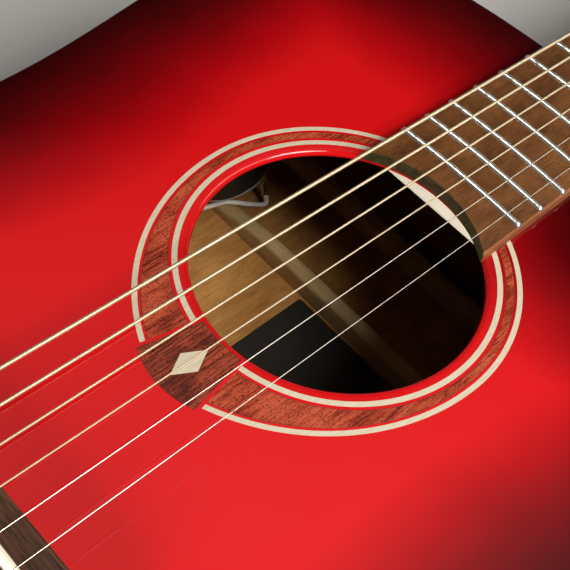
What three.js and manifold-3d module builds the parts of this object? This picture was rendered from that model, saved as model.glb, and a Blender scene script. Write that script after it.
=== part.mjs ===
// Six-string steel-string guitar with a cutaway body, a teardrop rosette and a side-mounted preamp.
// Millimetres. While it is built, the origin is the centre of the sound hole on the soundboard's top
// face: +Y runs along the strings to the nut, +X to the treble side and +Z out of the soundboard.
// At the end the whole guitar is shifted so that the origin is the bottom centre of its box.
import * as THREE from "three";
import { mergeVertices } from "three/addons/utils/BufferGeometryUtils.js";
import Module from "manifold-3d";

const wasm = await Module();
wasm.setup();

// ---- driving dimensions -------------------------------------------------------------------------
const SCALE = 650; // nut to saddle
const FRETS = 20;
const SADDLE_Y = -146; // saddle line, measured from the hole centre
const NUT_Y = SADDLE_Y + SCALE;
const HOLE_R = 50;
const GAP = 0.3; // clearance between pieces that are glued or rest on each other

const BODY_END_Y = 144; // neck end of the body, at the fourteenth fret
const TAIL_Y = -364;
const UPPER_HALF = 146;
const WAIST_HALF = 134;
const LOWER_HALF = 199;
const DEPTH_NECK = 103.6; // body depth at the neck end
const DEPTH_TAIL = 124; // body depth at the tail
const TOP_T = 2.8;
const BACK_T = 2.6;
const SIDE_T = 2.2;
const BACK_ARCH_R = 4600;
const LINING_W = 6;
const LINING_H = 14;

const NUT_W = 43;
const END_W = 57.6; // fretboard width at the last fret
const BOARD_T = 5.4; // fretboard thickness on its centreline
const BOARD_R = 400; // cross radius of fretboard, nut and saddle
const FRET_H = 1.1;
const STRING_NUT_Z = 7.5; // string centre above the soundboard plane, at the nut
const STRING_SADDLE_Z = 12.3;
const NUT_SPREAD = 36;
const SADDLE_SPREAD = 53.5;
const STRING_D = [1.35, 1.07, 0.81, 0.61, 0.41, 0.31]; // low E first

const HEAD_TILT = (14 * Math.PI) / 180;
const HEAD_T = 14.5;
const HEAD_L = 176;
const POST_U = [40, 78, 116]; // tuner posts, measured up the headstock from the nut's back face
const POST_X = 21.5;
const POST_R = 3;
const GEAR_TEETH = 14;
const WORM_PITCH = 2.04;
const WORM_R = 2.1; // pitch radius
const GEAR_W = -18.9; // gear plane, below the headstock's face

// ---- small tools ---------------------------------------------------------------------------------
const guitar = new THREE.Group();

/** A closed geometry as a manifold-3d solid. */
function solid(geometry, matrix) {
  const plain = new THREE.BufferGeometry();
  const source = geometry.index ? geometry.toNonIndexed() : geometry;
  plain.setAttribute("position", source.getAttribute("position").clone());
  if (matrix) plain.applyMatrix4(matrix);
  const merged = mergeVertices(plain, 1e-4);
  return new wasm.Manifold(
    new wasm.Mesh({
      numProp: 3,
      vertProperties: new Float32Array(merged.attributes.position.array),
      triVerts: new Uint32Array(merged.index.array),
    }),
  );
}

/** The largest body of a solid, without the slivers that a cut can leave beside it. */
function largest(manifold) {
  return manifold.decompose().reduce((a, b) => (b.volume() > a.volume() ? b : a));
}

function geometryOf(manifold) {
  const mesh = manifold.getMesh();
  const geometry = new THREE.BufferGeometry();
  geometry.setAttribute("position", new THREE.BufferAttribute(mesh.vertProperties, 3));
  geometry.setIndex(new THREE.BufferAttribute(mesh.triVerts, 1));
  const flat = geometry.toNonIndexed();
  flat.computeVertexNormals();
  return flat;
}

function material(color, roughness, metalness = 0) {
  return new THREE.MeshStandardMaterial({ color, roughness, metalness });
}

function add(name, manifold, look, parent = guitar) {
  const mesh = new THREE.Mesh(geometryOf(largest(manifold)), look);
  mesh.name = name;
  parent.add(mesh);
  return mesh;
}

function box(x0, x1, y0, y1, z0, z1, matrix) {
  const geometry = new THREE.BoxGeometry(x1 - x0, y1 - y0, z1 - z0);
  geometry.translate((x0 + x1) / 2, (y0 + y1) / 2, (z0 + z1) / 2);
  return solid(geometry, matrix);
}

/** A THREE.Shape of straight lines, from [x, y] pairs or Vector2s. */
function shapeOf(points) {
  return new THREE.Shape(points.map((p) => (p.isVector2 ? p : new THREE.Vector2(...p))));
}

/** A shape extruded from z0 to z1. */
function slab(shape, z0, z1, curveSegments, matrix) {
  const geometry = new THREE.ExtrudeGeometry(shape, { depth: z1 - z0, bevelEnabled: false, curveSegments });
  geometry.translate(0, 0, z0);
  return solid(geometry, matrix);
}

/** A closed polygon extruded from z0 to z1. */
function prism(points, z0, z1) {
  return slab(shapeOf(points), z0, z1, 1);
}

/** Geometry of a polygon that is drawn in X and Z, and extruded along Y from y0 to y1. */
function crossPrism(points, y0, y1) {
  const geometry = new THREE.ExtrudeGeometry(shapeOf(points), { depth: y1 - y0, bevelEnabled: false });
  geometry.rotateX(Math.PI / 2);
  geometry.translate(0, y1, 0);
  return geometry;
}

/** Rings of equal point counts joined into one closed skin, with a fan over each end. */
function loft(rings) {
  const positions = [];
  const n = rings[0].length;
  const push = (...ps) => ps.forEach((p) => positions.push(p.x, p.y, p.z));
  for (let k = 0; k + 1 < rings.length; k++)
    for (let i = 0; i < n; i++) {
      const j = (i + 1) % n;
      push(rings[k][i], rings[k][j], rings[k + 1][j]);
      push(rings[k][i], rings[k + 1][j], rings[k + 1][i]);
    }
  const middle = (ring) => ring.reduce((a, p) => a.add(p), new THREE.Vector3()).divideScalar(n);
  const first = middle(rings[0]);
  const last = middle(rings[rings.length - 1]);
  for (let i = 0; i < n; i++) {
    const j = (i + 1) % n;
    push(first, rings[0][j], rings[0][i]);
    push(last, rings[rings.length - 1][i], rings[rings.length - 1][j]);
  }
  const geometry = new THREE.BufferGeometry();
  geometry.setAttribute("position", new THREE.Float32BufferAttribute(positions, 3));
  const made = solid(geometry);
  return made.volume() < 0 ? solid(flipped(geometry)) : made;
}

function flipped(geometry) {
  const p = geometry.getAttribute("position").array;
  for (let i = 0; i < p.length; i += 9)
    for (let c = 0; c < 3; c++) [p[i + 3 + c], p[i + 6 + c]] = [p[i + 6 + c], p[i + 3 + c]];
  return geometry;
}

/** A round bar that follows a list of points. */
function tube(points, radius, sides = 8) {
  const side = X.clone();
  const rings = points.map((p, k) => {
    const before = points[Math.max(0, k - 1)];
    const after = points[Math.min(points.length - 1, k + 1)];
    const along = after.clone().sub(before).normalize();
    side.addScaledVector(along, -side.dot(along)).normalize();
    const up = along.clone().cross(side);
    return Array.from({ length: sides }, (_, i) => {
      const a = (2 * Math.PI * i) / sides;
      const out = side.clone().multiplyScalar(radius * Math.cos(a));
      return p.clone().add(out).addScaledVector(up, radius * Math.sin(a));
    });
  });
  return loft(rings);
}

/** A turned piece: profile of [radius, height] pairs from axis to axis, about local +Z. */
function turned(profile, segments, matrix) {
  const geometry = new THREE.LatheGeometry(profile.map(([r, h]) => new THREE.Vector2(r, h)), segments);
  geometry.rotateX(Math.PI / 2);
  const made = solid(geometry, matrix);
  return made.volume() < 0 ? solid(flipped(geometry.toNonIndexed()), matrix) : made;
}

/** A plain round bar about local Z. */
function rod(radius, from, to, segments, matrix) {
  return turned([[0, from], [radius, from], [radius, to], [0, to]], segments, matrix);
}

/** Matrix that turns local +Z to a unit direction and puts the origin at a point. */
function aim(point, direction) {
  const turn = new THREE.Quaternion().setFromUnitVectors(Z, direction);
  return new THREE.Matrix4().compose(point, turn, new THREE.Vector3(1, 1, 1));
}

const at = (x, y, z) => new THREE.Vector3(x, y, z);
const X = at(1, 0, 0);
const Y = at(0, 1, 0);
const Z = at(0, 0, 1);
const upright = (x, y) => aim(at(x, y, 0), Z);
const shift = (x, y, z) => new THREE.Matrix4().makeTranslation(x, y, z);
const lerp = (a, b, t) => a + (b - a) * t;

// ---- looks ---------------------------------------------------------------------------------------
const RED_LACQUER = material(0xc8141a, 0.12);
const MAHOGANY = material(0x6a2f1a, 0.35);
const SPRUCE = material(0xd9c9a0, 0.7);
const ROSEWOOD = material(0x4a2a1c, 0.5);
const MAPLE = material(0xe0cf9f, 0.4);
const BONE = material(0xeae3cf, 0.35);
const CHROME = material(0xb8bcc0, 0.2, 1);
const BRONZE = material(0xc99a5b, 0.3, 1);
const STEEL = material(0xc9ccd0, 0.25, 1);
const BLACK = material(0x16171a, 0.45);
const CABLE = material(0xd8d6cc, 0.6);
const PAPER = material(0x26241d, 0.8);

// ---- body outline --------------------------------------------------------------------------------
const CUT_FLOOR_Y = 83; // deepest point of the cutaway
const HEEL_HALF = 27.4;

const outlineShape = new THREE.Shape();
outlineShape.moveTo(0, BODY_END_Y);
outlineShape.bezierCurveTo(-92, BODY_END_Y, -UPPER_HALF, 128, -UPPER_HALF, 78);
outlineShape.bezierCurveTo(-UPPER_HALF, 34, -WAIST_HALF, -2, -WAIST_HALF, -45);
outlineShape.bezierCurveTo(-WAIST_HALF, -108, -LOWER_HALF, -152, -LOWER_HALF, -226);
outlineShape.bezierCurveTo(-LOWER_HALF, -318, -112, TAIL_Y, 0, TAIL_Y);
outlineShape.bezierCurveTo(112, TAIL_Y, LOWER_HALF, -318, LOWER_HALF, -226);
outlineShape.bezierCurveTo(LOWER_HALF, -152, WAIST_HALF, -108, WAIST_HALF, -45);
outlineShape.bezierCurveTo(WAIST_HALF, -2, 144, 12, 144, 52);
outlineShape.bezierCurveTo(144, 90, 134, 111, 116, 111);
outlineShape.bezierCurveTo(96, 111, 90, CUT_FLOOR_Y, 66, CUT_FLOOR_Y);
outlineShape.bezierCurveTo(44, CUT_FLOOR_Y, 31, 97, 31, 121);
outlineShape.lineTo(HEEL_HALF, BODY_END_Y);
const OUTLINE = outlineShape.getPoints(10).filter((p, i, all) => i === 0 || p.distanceTo(all[i - 1]) > 0.5);
if (OUTLINE[0].distanceTo(OUTLINE[OUTLINE.length - 1]) < 0.5) OUTLINE.pop();

/** The body outline moved inwards by a distance. */
function inset(distance) {
  const n = OUTLINE.length;
  return OUTLINE.map((p, i) => {
    const a = p.clone().sub(OUTLINE[(i + n - 1) % n]).normalize();
    const b = OUTLINE[(i + 1) % n].clone().sub(p).normalize();
    const na = new THREE.Vector2(-a.y, a.x);
    const nb = new THREE.Vector2(-b.y, b.x);
    const step = na.clone().add(nb).multiplyScalar(distance / (1 + na.dot(nb)));
    return p.clone().add(step);
  });
}

const bodyPrism = (distance, z0, z1) => prism(inset(distance), z0, z1);

/** A band that follows the body outline, between two distances in from it. */
const edgeRing = (from, to, z0, z1) => bodyPrism(from, z0, z1).subtract(bodyPrism(to, z0 - 1, z1 + 1));

const BELOW = -150; // a level below the whole body
const MID_DEPTH = -60; // a level that the back never reaches

// ---- back surface: a shallow barrel arch on a plane that drops towards the tail --------------------
const BACK_SLOPE = (DEPTH_TAIL - DEPTH_NECK) / (BODY_END_Y - TAIL_Y);
const BACK_TILT = Math.atan(BACK_SLOPE);
const backZ = (y) => -(DEPTH_NECK + BACK_SLOPE * (BODY_END_Y - y));

/** The space between the back's arched surface, raised by a lift, and a level far below. */
function belowBack(lift) {
  const floor = -60;
  const halfWidths = [16, 48, 80, 112, 144, 176, 215];
  const arch = (x) => (x * x) / (2 * BACK_ARCH_R);
  const right = halfWidths.map((x) => [x, arch(x) - arch(halfWidths[0]) + lift]);
  const left = right.map(([x, z]) => [-x, z]).reverse();
  const outer = halfWidths[halfWidths.length - 1];
  const geometry = crossPrism([...left, ...right, [outer, floor], [-outer, floor]], -500, 400);
  geometry.rotateX(BACK_TILT);
  geometry.translate(0, 0, backZ(0));
  return solid(geometry);
}

const insideSpace = bodyPrism(SIDE_T + GAP, BELOW, 0).subtract(belowBack(BACK_T + GAP));

// ---- blocks, sides and linings ----------------------------------------------------------------------
const TENON = { half: 11, depth: 20, low: -78 };
const tenonRoom = box(
  -TENON.half - GAP, TENON.half + GAP,
  BODY_END_Y - TENON.depth - GAP, BODY_END_Y + 56,
  TENON.low - GAP, -TOP_T - GAP,
);
const JACK_Z = -58;
const jackRoom = rod(6.5, -60, 60, 20, aim(at(0, TAIL_Y, JACK_Z), Y));

const liningRing = (z0, z1) => edgeRing(SIDE_T + GAP, SIDE_T + GAP + LINING_W, z0, z1);
const liningRoom = (z0, z1) => edgeRing(0, SIDE_T + LINING_W + 2 * GAP, z0, z1);
const NECK_BLOCK = { x0: -42, x1: 26, y0: 101 };
const neckBlockBox = box(NECK_BLOCK.x0, NECK_BLOCK.x1, NECK_BLOCK.y0, 200, BELOW, -TOP_T - GAP);
const blockGap = box(NECK_BLOCK.x0 - GAP, NECK_BLOCK.x1 + GAP, NECK_BLOCK.y0 - 11, 200, BELOW, 10);
const neckBlock = neckBlockBox.intersect(insideSpace).subtract(tenonRoom);
const topLining = liningRing(-TOP_T - GAP - LINING_H, -TOP_T - GAP).subtract(blockGap);
const backLining = liningRing(BELOW, MID_DEPTH)
  .subtract(belowBack(BACK_T + GAP))
  .intersect(belowBack(BACK_T + GAP + LINING_H))
  .subtract(blockGap);
const END_BLOCK = { half: 44, deep: 22 };
const endBlock = box(-END_BLOCK.half, END_BLOCK.half, TAIL_Y - 16, TAIL_Y + END_BLOCK.deep, BELOW, -TOP_T - GAP)
  .intersect(insideSpace)
  .subtract(liningRoom(-TOP_T - 2 * GAP - LINING_H, 1))
  .subtract(liningRoom(BELOW, MID_DEPTH).intersect(belowBack(BACK_T + 2 * GAP + LINING_H)))
  .subtract(jackRoom);

// The preamp's place in the bass side.
const PREAMP = { y0: 26, y1: 80, z0: -82, z1: -32, inner: -94, innerZ0: -87, face: -149.5 };
const PREAMP_LIP = 4; // how far the preamp's flange laps over the side all round
const preampCut = box(
  -160, -120,
  PREAMP.y0 + PREAMP_LIP, PREAMP.y1 - PREAMP_LIP,
  PREAMP.z0 + PREAMP_LIP, PREAMP.z1 - PREAMP_LIP,
);

const rim = edgeRing(0, SIDE_T, BELOW, -TOP_T - GAP)
  .subtract(belowBack(BACK_T + GAP))
  .subtract(tenonRoom)
  .subtract(jackRoom);
const bassHalf = box(-300, -GAP / 2, -500, 300, -200, 50);
const trebleHalf = box(GAP / 2, 300, -500, 300, -200, 50);
add("side_bass", rim.intersect(bassHalf).subtract(preampCut), MAHOGANY);
add("side_treble", rim.intersect(trebleHalf), MAHOGANY);
add("neck_block", neckBlock, MAHOGANY);
add("end_block", endBlock, MAHOGANY);
add("top_lining", topLining, SPRUCE);
add("back_lining", backLining, SPRUCE);
add("back_plate", bodyPrism(0, BELOW, MID_DEPTH).intersect(belowBack(BACK_T)).subtract(belowBack(0)), MAHOGANY);

// ---- rosette ----------------------------------------------------------------------------------------
const INLAY_T = 1.2;
const ROSETTE = { innerLine: [53.6, 55.5], band: [56.6, 59.5], outerLine: [60.4, 62.2] };
const TEAR = 16.1; // how far the lower arcs' centres stand across the centreline
const BADGE = { topHalf: 9.2, bottomHalf: 14, topR: 52, cornerY: -74, sag: 3 };
const BADGE_GAP = 1.3; // the rings stop this far from the badge
const INLAY = { half: 4.2, length: 7.6, y: -64.5 }; // a plain lozenge in the badge

/** A ring that is round above the hole centre, and stretches to a teardrop below it if tear is more than 0. */
function teardrop(radius, tear, steps = 16) {
  const points = [];
  for (let i = 0; i <= steps; i++) {
    const a = (Math.PI * i) / steps;
    points.push([radius * Math.cos(a), radius * Math.sin(a)]);
  }
  const low = tear > 0 ? Math.acos(tear / (radius + tear)) : Math.PI / 2;
  for (let i = 1; i <= steps; i++) {
    const a = (low * i) / steps;
    points.push([-(radius + tear) * Math.cos(a) + tear, -(radius + tear) * Math.sin(a)]);
  }
  const lowest = tear > 0 ? 1 : 0; // a teardrop's lowest point is on the centreline, so it has no mirror
  const mirrored = points.slice(steps + 1, points.length - lowest).reverse();
  const all = [...points, ...mirrored.map(([x, y]) => [-x, y])];
  return all.filter(([x, y], i) => i === 0 || Math.hypot(x - all[i - 1][0], y - all[i - 1][1]) > 0.01);
}

function ringBetween(rIn, rOut, tearIn, tearOut, grow, z0, z1) {
  const outer = prism(teardrop(rOut + grow, tearOut), z0, z1);
  return outer.subtract(prism(teardrop(rIn - grow, tearIn), z0 - 1, z1 + 1));
}

/** The badge's outline, grown all round by a distance. */
function badgeOutline(grow) {
  const low = new THREE.QuadraticBezierCurve(
    new THREE.Vector2(-BADGE.bottomHalf - grow, BADGE.cornerY - grow),
    new THREE.Vector2(0, BADGE.cornerY - 2 * BADGE.sag - grow),
    new THREE.Vector2(BADGE.bottomHalf + grow, BADGE.cornerY - grow),
  );
  const half = Math.asin((BADGE.topHalf + grow) / BADGE.topR);
  const top = [1, 0.5, 0, -0.5, -1].map((t) => {
    const a = half * t;
    return [(BADGE.topR - grow) * Math.sin(a), -(BADGE.topR - grow) * Math.cos(a)];
  });
  return [...low.getPoints(8), ...top];
}

const badgeClear = prism(badgeOutline(BADGE_GAP), -5, 5);
const inlayZ = [-INLAY_T, 0];
const ringSolid = (grow, z0, z1) => ({
  innerLine: ringBetween(...ROSETTE.innerLine, 0, 0, grow, z0, z1),
  band: ringBetween(...ROSETTE.band, 0, TEAR, grow, z0, z1),
  outerLine: ringBetween(...ROSETTE.outerLine, TEAR, TEAR, grow, z0, z1),
});
const rings = ringSolid(0, ...inlayZ);
const channels = ringSolid(GAP * 0.8, -INLAY_T - GAP, 1);
add("rosette_inner_line", rings.innerLine.subtract(badgeClear), MAPLE);
add("rosette_band", rings.band.subtract(badgeClear), ROSEWOOD);
add("rosette_outer_line", rings.outerLine.subtract(badgeClear), MAPLE);
const lozenge = (grow) => {
  const [w, h] = [INLAY.half + grow * 1.6, INLAY.length + grow * 1.2];
  return [[w, INLAY.y], [0, INLAY.y + h], [-w, INLAY.y], [0, INLAY.y - h]];
};
add("rosette_badge", prism(badgeOutline(0), ...inlayZ).subtract(prism(lozenge(GAP), -5, 5)), ROSEWOOD);
add("badge_inlay", prism(lozenge(0), ...inlayZ), MAPLE);
const badgeChannel = prism(badgeOutline(GAP), -INLAY_T - GAP, 1);
const channelGap = prism(badgeOutline(BADGE_GAP - GAP), -5, 5);

// ---- bridge line -------------------------------------------------------------------------------------
const PIN_Y = SADDLE_Y - 14;
const PIN_HOLE_R = 2.6;
const stringT = (y) => (y - SADDLE_Y) / SCALE;
const stringX = (k, y) => ((k - 2.5) / 5) * lerp(SADDLE_SPREAD, NUT_SPREAD, stringT(y));
const stringZ = (x, y) => lerp(STRING_SADDLE_Z, STRING_NUT_Z, stringT(y)) - (x * x) / (2 * BOARD_R);
const pinHoles = STRING_D.map((_, k) =>
  rod(PIN_HOLE_R, -30, 30, 10, upright(stringX(k, PIN_Y), PIN_Y)),
);
const drill = (piece) => pinHoles.reduce((left, hole) => left.subtract(hole), piece);

let soundboard = bodyPrism(0, -TOP_T, 0).subtract(rod(HOLE_R, -20, 20, 64));
for (const channel of Object.values(channels)) soundboard = soundboard.subtract(channel.subtract(channelGap));
soundboard = soundboard.subtract(badgeChannel);

// ---- top braces ----------------------------------------------------------------------------------------
const BRACE_W = 8;
const BRACE_H = 13;
const braceTop = -TOP_T - GAP;
const liningInside = bodyPrism(SIDE_T + 2 * GAP + LINING_W, -200, 50);
const X_CENTRE_Y = -84;
const X_ANGLE = (49 * Math.PI) / 180;

/** A bar under the soundboard whose ends are scooped down to a thin tongue. */
function scalloped(halfLength, width, height, scoop = 38, tip = 3) {
  const section = [
    [-halfLength, 0], [-halfLength, -tip], [-halfLength + scoop, -height],
    [halfLength - scoop, -height], [halfLength, -tip], [halfLength, 0],
  ];
  return crossPrism(section, -width / 2, width / 2);
}

function topBrace(x, y, angle, halfLength, height = BRACE_H, width = BRACE_W) {
  const m = new THREE.Matrix4().makeRotationZ(angle).setPosition(x, y, braceTop);
  return solid(scalloped(halfLength, width, height), m).intersect(liningInside);
}

/** The crossed braces, with their two legs made wider by a gap on each side. */
function crossedBraces(grow) {
  const leg = (side) => topBrace(0, X_CENTRE_Y, Math.PI / 2 + side * X_ANGLE, 215, BRACE_H, BRACE_W + 2 * grow);
  return leg(-1).add(leg(1));
}
add("x_brace", crossedBraces(0), SPRUCE);

const TRANSVERSE_Y = 51.5; // tail face of the brace between the hole and the neck block
const TRANSVERSE_H = 9;
const TRANSVERSE_W = 9;
add("transverse_brace",
  topBrace(0, TRANSVERSE_Y + TRANSVERSE_W / 2, 0, 150, TRANSVERSE_H, TRANSVERSE_W), SPRUCE);
const LEAD_X = -33; // the pickup's lead comes up through the top here
const leadRoom = rod(1.6, -30, 30, 10, upright(LEAD_X, SADDLE_Y));
const BRIDGE_PLATE_T = 2.5;
const plateOutline = [[-70, -176], [70, -176], [46, -137], [-46, -137]];
const bridgePlate = prism(plateOutline, braceTop - BRIDGE_PLATE_T, braceTop);
add("bridge_plate", drill(bridgePlate).subtract(crossedBraces(GAP)).subtract(leadRoom), ROSEWOOD);
add("soundboard", drill(soundboard).subtract(leadRoom), RED_LACQUER);

// ---- back braces ----------------------------------------------------------------------------------------
const BACK_BRACES = [
  { y: 93, half: 138, scoop: 38, h: 10, w: 8 },
  { y: 47.7, half: 138, scoop: 64, h: 11, w: 8.4 },
  { y: -152, half: 192, scoop: 40, h: 10, w: 14 },
];
BACK_BRACES.forEach(({ y, half, scoop, h, w }, i) => {
  const m = new THREE.Matrix4().makeRotationX(Math.PI).setPosition(0, y, backZ(y) + BACK_T - 3);
  const bar = solid(scalloped(half, w, h + 3, scoop), m)
    .intersect(liningInside)
    .subtract(belowBack(BACK_T + GAP))
    .subtract(neckBlockBox);
  add(`back_brace_${i + 1}`, bar, SPRUCE);
});

const LABEL = { half: 44.5, y0: -22, y1: 43, t: 0.6 };
const label = box(-LABEL.half, LABEL.half, LABEL.y0, LABEL.y1, BELOW, MID_DEPTH)
  .intersect(belowBack(BACK_T + GAP + LABEL.t))
  .subtract(belowBack(BACK_T + GAP));
add("maker_label", label, PAPER);

// ---- bridge and saddle -------------------------------------------------------------------------------
const BRIDGE = { half: 80, y0: -173, y1: -134, top: 8.4, wing: 3.6, bodyHalf: 41 };
const bridgeShape = new THREE.Shape();
bridgeShape.moveTo(-BRIDGE.half, BRIDGE.y0 + 6);
bridgeShape.quadraticCurveTo(-BRIDGE.half, BRIDGE.y1, -BRIDGE.half + 8, BRIDGE.y1);
bridgeShape.lineTo(BRIDGE.half - 8, BRIDGE.y1);
bridgeShape.quadraticCurveTo(BRIDGE.half, BRIDGE.y1, BRIDGE.half, BRIDGE.y0 + 6);
bridgeShape.quadraticCurveTo(BRIDGE.half, BRIDGE.y0 + 3, BRIDGE.half - 6, BRIDGE.y0 + 3);
bridgeShape.bezierCurveTo(48, BRIDGE.y0 + 3, 40, BRIDGE.y0 - 4, 0, BRIDGE.y0 - 4);
bridgeShape.bezierCurveTo(-40, BRIDGE.y0 - 4, -48, BRIDGE.y0 + 3, -BRIDGE.half + 6, BRIDGE.y0 + 3);
bridgeShape.quadraticCurveTo(-BRIDGE.half, BRIDGE.y0 + 3, -BRIDGE.half, BRIDGE.y0 + 6);
const bridgeProfile = [
  [-90, 0], [-90, BRIDGE.wing], [-62, BRIDGE.wing], [-52, 5], [-BRIDGE.bodyHalf, BRIDGE.top],
  [BRIDGE.bodyHalf, BRIDGE.top], [52, 5], [62, BRIDGE.wing], [90, BRIDGE.wing], [90, 0],
];
const bridgeRise = crossPrism(bridgeProfile, BRIDGE.y0 - 22, BRIDGE.y1 + 19);
bridgeRise.translate(0, 0, GAP);
const SADDLE = { half: 37, t: 3.2, low: 3.4 };
const saddleTop = (x) => stringZ(x, SADDLE_Y) - lerp(0.67, 0.16, x / SADDLE_SPREAD + 0.5) - GAP * 0.7;
const saddleProfile = [];
for (let i = 0; i <= 8; i++) {
  const x = lerp(SADDLE.half - 0.5, -SADDLE.half + 0.5, i / 8);
  saddleProfile.push([x, saddleTop(x)]);
}
const saddleOutline = [[-SADDLE.half, SADDLE.low], [SADDLE.half, SADDLE.low], ...saddleProfile];
const saddle = solid(crossPrism(saddleOutline, SADDLE_Y - SADDLE.t / 2, SADDLE_Y + SADDLE.t / 2));
const PICKUP_T = 1.5; // thickness of the pickup strip under the saddle
const saddleSlot = box(
  -SADDLE.half - GAP, SADDLE.half + GAP,
  SADDLE_Y - SADDLE.t / 2 - GAP, SADDLE_Y + SADDLE.t / 2 + GAP,
  SADDLE.low - PICKUP_T - 2 * GAP, 30,
);
const bridge = slab(bridgeShape, 0, 20, 7).intersect(solid(bridgeRise)).subtract(saddleSlot);
const stringWay = STRING_D.map((d, k) => {
  const x = stringX(k, PIN_Y);
  const r = d / 2 + GAP;
  return box(x - r, x + r, PIN_Y + 0.5, PIN_Y + PIN_HOLE_R + 2.2, BRIDGE.top - 1.6, BRIDGE.top + 1.4);
});
const notched = stringWay.reduce((left, way) => left.subtract(way), drill(bridge));
add("bridge", notched.subtract(leadRoom), ROSEWOOD);
add("saddle", saddle, BONE);
const pickupStrip = box(
  -SADDLE.half + 1, SADDLE.half - 1,
  SADDLE_Y - 1.2, SADDLE_Y + 1.2,
  SADDLE.low - PICKUP_T - GAP, SADDLE.low - GAP,
);

STRING_D.forEach((d, k) => {
  const head = BRIDGE.top + GAP;
  const profile = [
    [0, -17], [1.5, -17], [2.3, head - 3], [2.3, head], [3.6, head],
    [4, head + 1.2], [3.6, head + 3], [2.2, head + 4.2], [0, head + 4.6],
  ];
  const x = stringX(k, PIN_Y);
  const pin = turned(profile, 10, upright(x, PIN_Y));
  const r = d / 2 + GAP;
  const slot = box(x - r, x + r, PIN_Y + PIN_HOLE_R - d - 0.5, PIN_Y + 6, -8, head + d + 1);
  add(`bridge_pin_${k + 1}`, pin.subtract(slot), BONE);
});

// ---- neck, heel and headstock ----------------------------------------------------------------------------
const boardWidth = (y) => lerp(NUT_W, END_W, (NUT_Y - y) / (SCALE * (1 - 2 ** (-FRETS / 12))));
const NUT_T = 5.5;
const HEAD_Y = NUT_Y + NUT_T;
const HEAD_Z = 1.2; // headstock face at the nut
const headFrame = new THREE.Matrix4().makeRotationX(-HEAD_TILT).setPosition(0, HEAD_Y, HEAD_Z);
const onHead = (x, u, w) => at(x, u, w).applyMatrix4(headFrame);

function neckRing(y, halfWidth, depth) {
  const n = 10;
  const ring = [];
  for (let i = 0; i <= n; i++) {
    const a = (Math.PI * i) / n;
    ring.push(at(-halfWidth * Math.cos(a), y, -depth * Math.sin(a) ** 0.75));
  }
  return ring;
}
const neckSections = [BODY_END_Y + GAP, 200, 300, 400, 480, HEAD_Y - 2].map((y) =>
  neckRing(y, boardWidth(y) / 2, lerp(14.2, 17.5, (HEAD_Y - y) / 360)),
);
const HEEL_LOW = -96;
const heelHalf = (z) => lerp(12, boardWidth(BODY_END_Y) / 2, ((z - HEEL_LOW) / (-1 - HEEL_LOW)) ** 1.4);
const heelRings = Array.from({ length: 10 }, (_, k) => {
  const t = k / 9;
  const z = lerp(HEEL_LOW, -1, t);
  const half = heelHalf(z);
  const reach = lerp(15, 62, t ** 3);
  return Array.from({ length: 13 }, (_, i) => {
    const a = (Math.PI * i) / 12;
    return at(-half * Math.cos(a), BODY_END_Y + GAP + reach * Math.sin(a) ** 0.8, z);
  });
});
const headShape = new THREE.Shape();
headShape.moveTo(-22.2, -3);
headShape.bezierCurveTo(-23, 10, -33, 12, -34, 26);
headShape.lineTo(-36.5, HEAD_L - 20);
headShape.quadraticCurveTo(-37, HEAD_L - 8, -26, HEAD_L - 6);
headShape.quadraticCurveTo(-12, HEAD_L - 4, 0, HEAD_L);
headShape.quadraticCurveTo(12, HEAD_L - 4, 26, HEAD_L - 6);
headShape.quadraticCurveTo(37, HEAD_L - 8, 36.5, HEAD_L - 20);
headShape.lineTo(34, 26);
headShape.bezierCurveTo(33, 12, 23, 10, 22.2, -3);
const headBlank = slab(headShape, -HEAD_T, 0, 6, headFrame);
const PLATE_T = 1.6; // headplate thickness, taken out of the headstock's own
const plateZone = box(-60, 60, -0.2, 400, -PLATE_T - GAP, 20, headFrame);
const postHole = (x, u) => rod(5, -40, 10, 12, headFrame.clone().multiply(shift(x, u, 0)));
const nutRoom = box(-30, 30, NUT_Y - GAP, HEAD_Y + 0.1, -1 - GAP, 20);
const tenon = box(
  -TENON.half, TENON.half,
  BODY_END_Y - TENON.depth, BODY_END_Y + 4,
  TENON.low, -TOP_T - 2 * GAP,
);
let neck = loft(neckSections)
  .add(loft(heelRings))
  .add(tenon)
  .add(headBlank)
  .subtract(nutRoom)
  .subtract(plateZone);
const posts = [];
for (let k = 0; k < 6; k++) {
  const bass = k < 3;
  const u = bass ? POST_U[k] : POST_U[5 - k];
  posts.push({ k, bass, x: bass ? -POST_X : POST_X, u });
}
for (const { x, u } of posts) neck = neck.subtract(postHole(x, u));
const STRAP = { y: BODY_END_Y + 13, z: -62 };
const strapHole = rod(1.8, -52, 0, 12, aim(at(-3, STRAP.y, STRAP.z), X));
add("neck", neck.subtract(strapHole), MAHOGANY);
let headplate = headBlank.intersect(box(-60, 60, GAP, 400, -PLATE_T, 20, headFrame)).subtract(nutRoom);
for (const { x, u } of posts) headplate = headplate.subtract(postHole(x, u));
add("headplate", headplate, ROSEWOOD);

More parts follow.
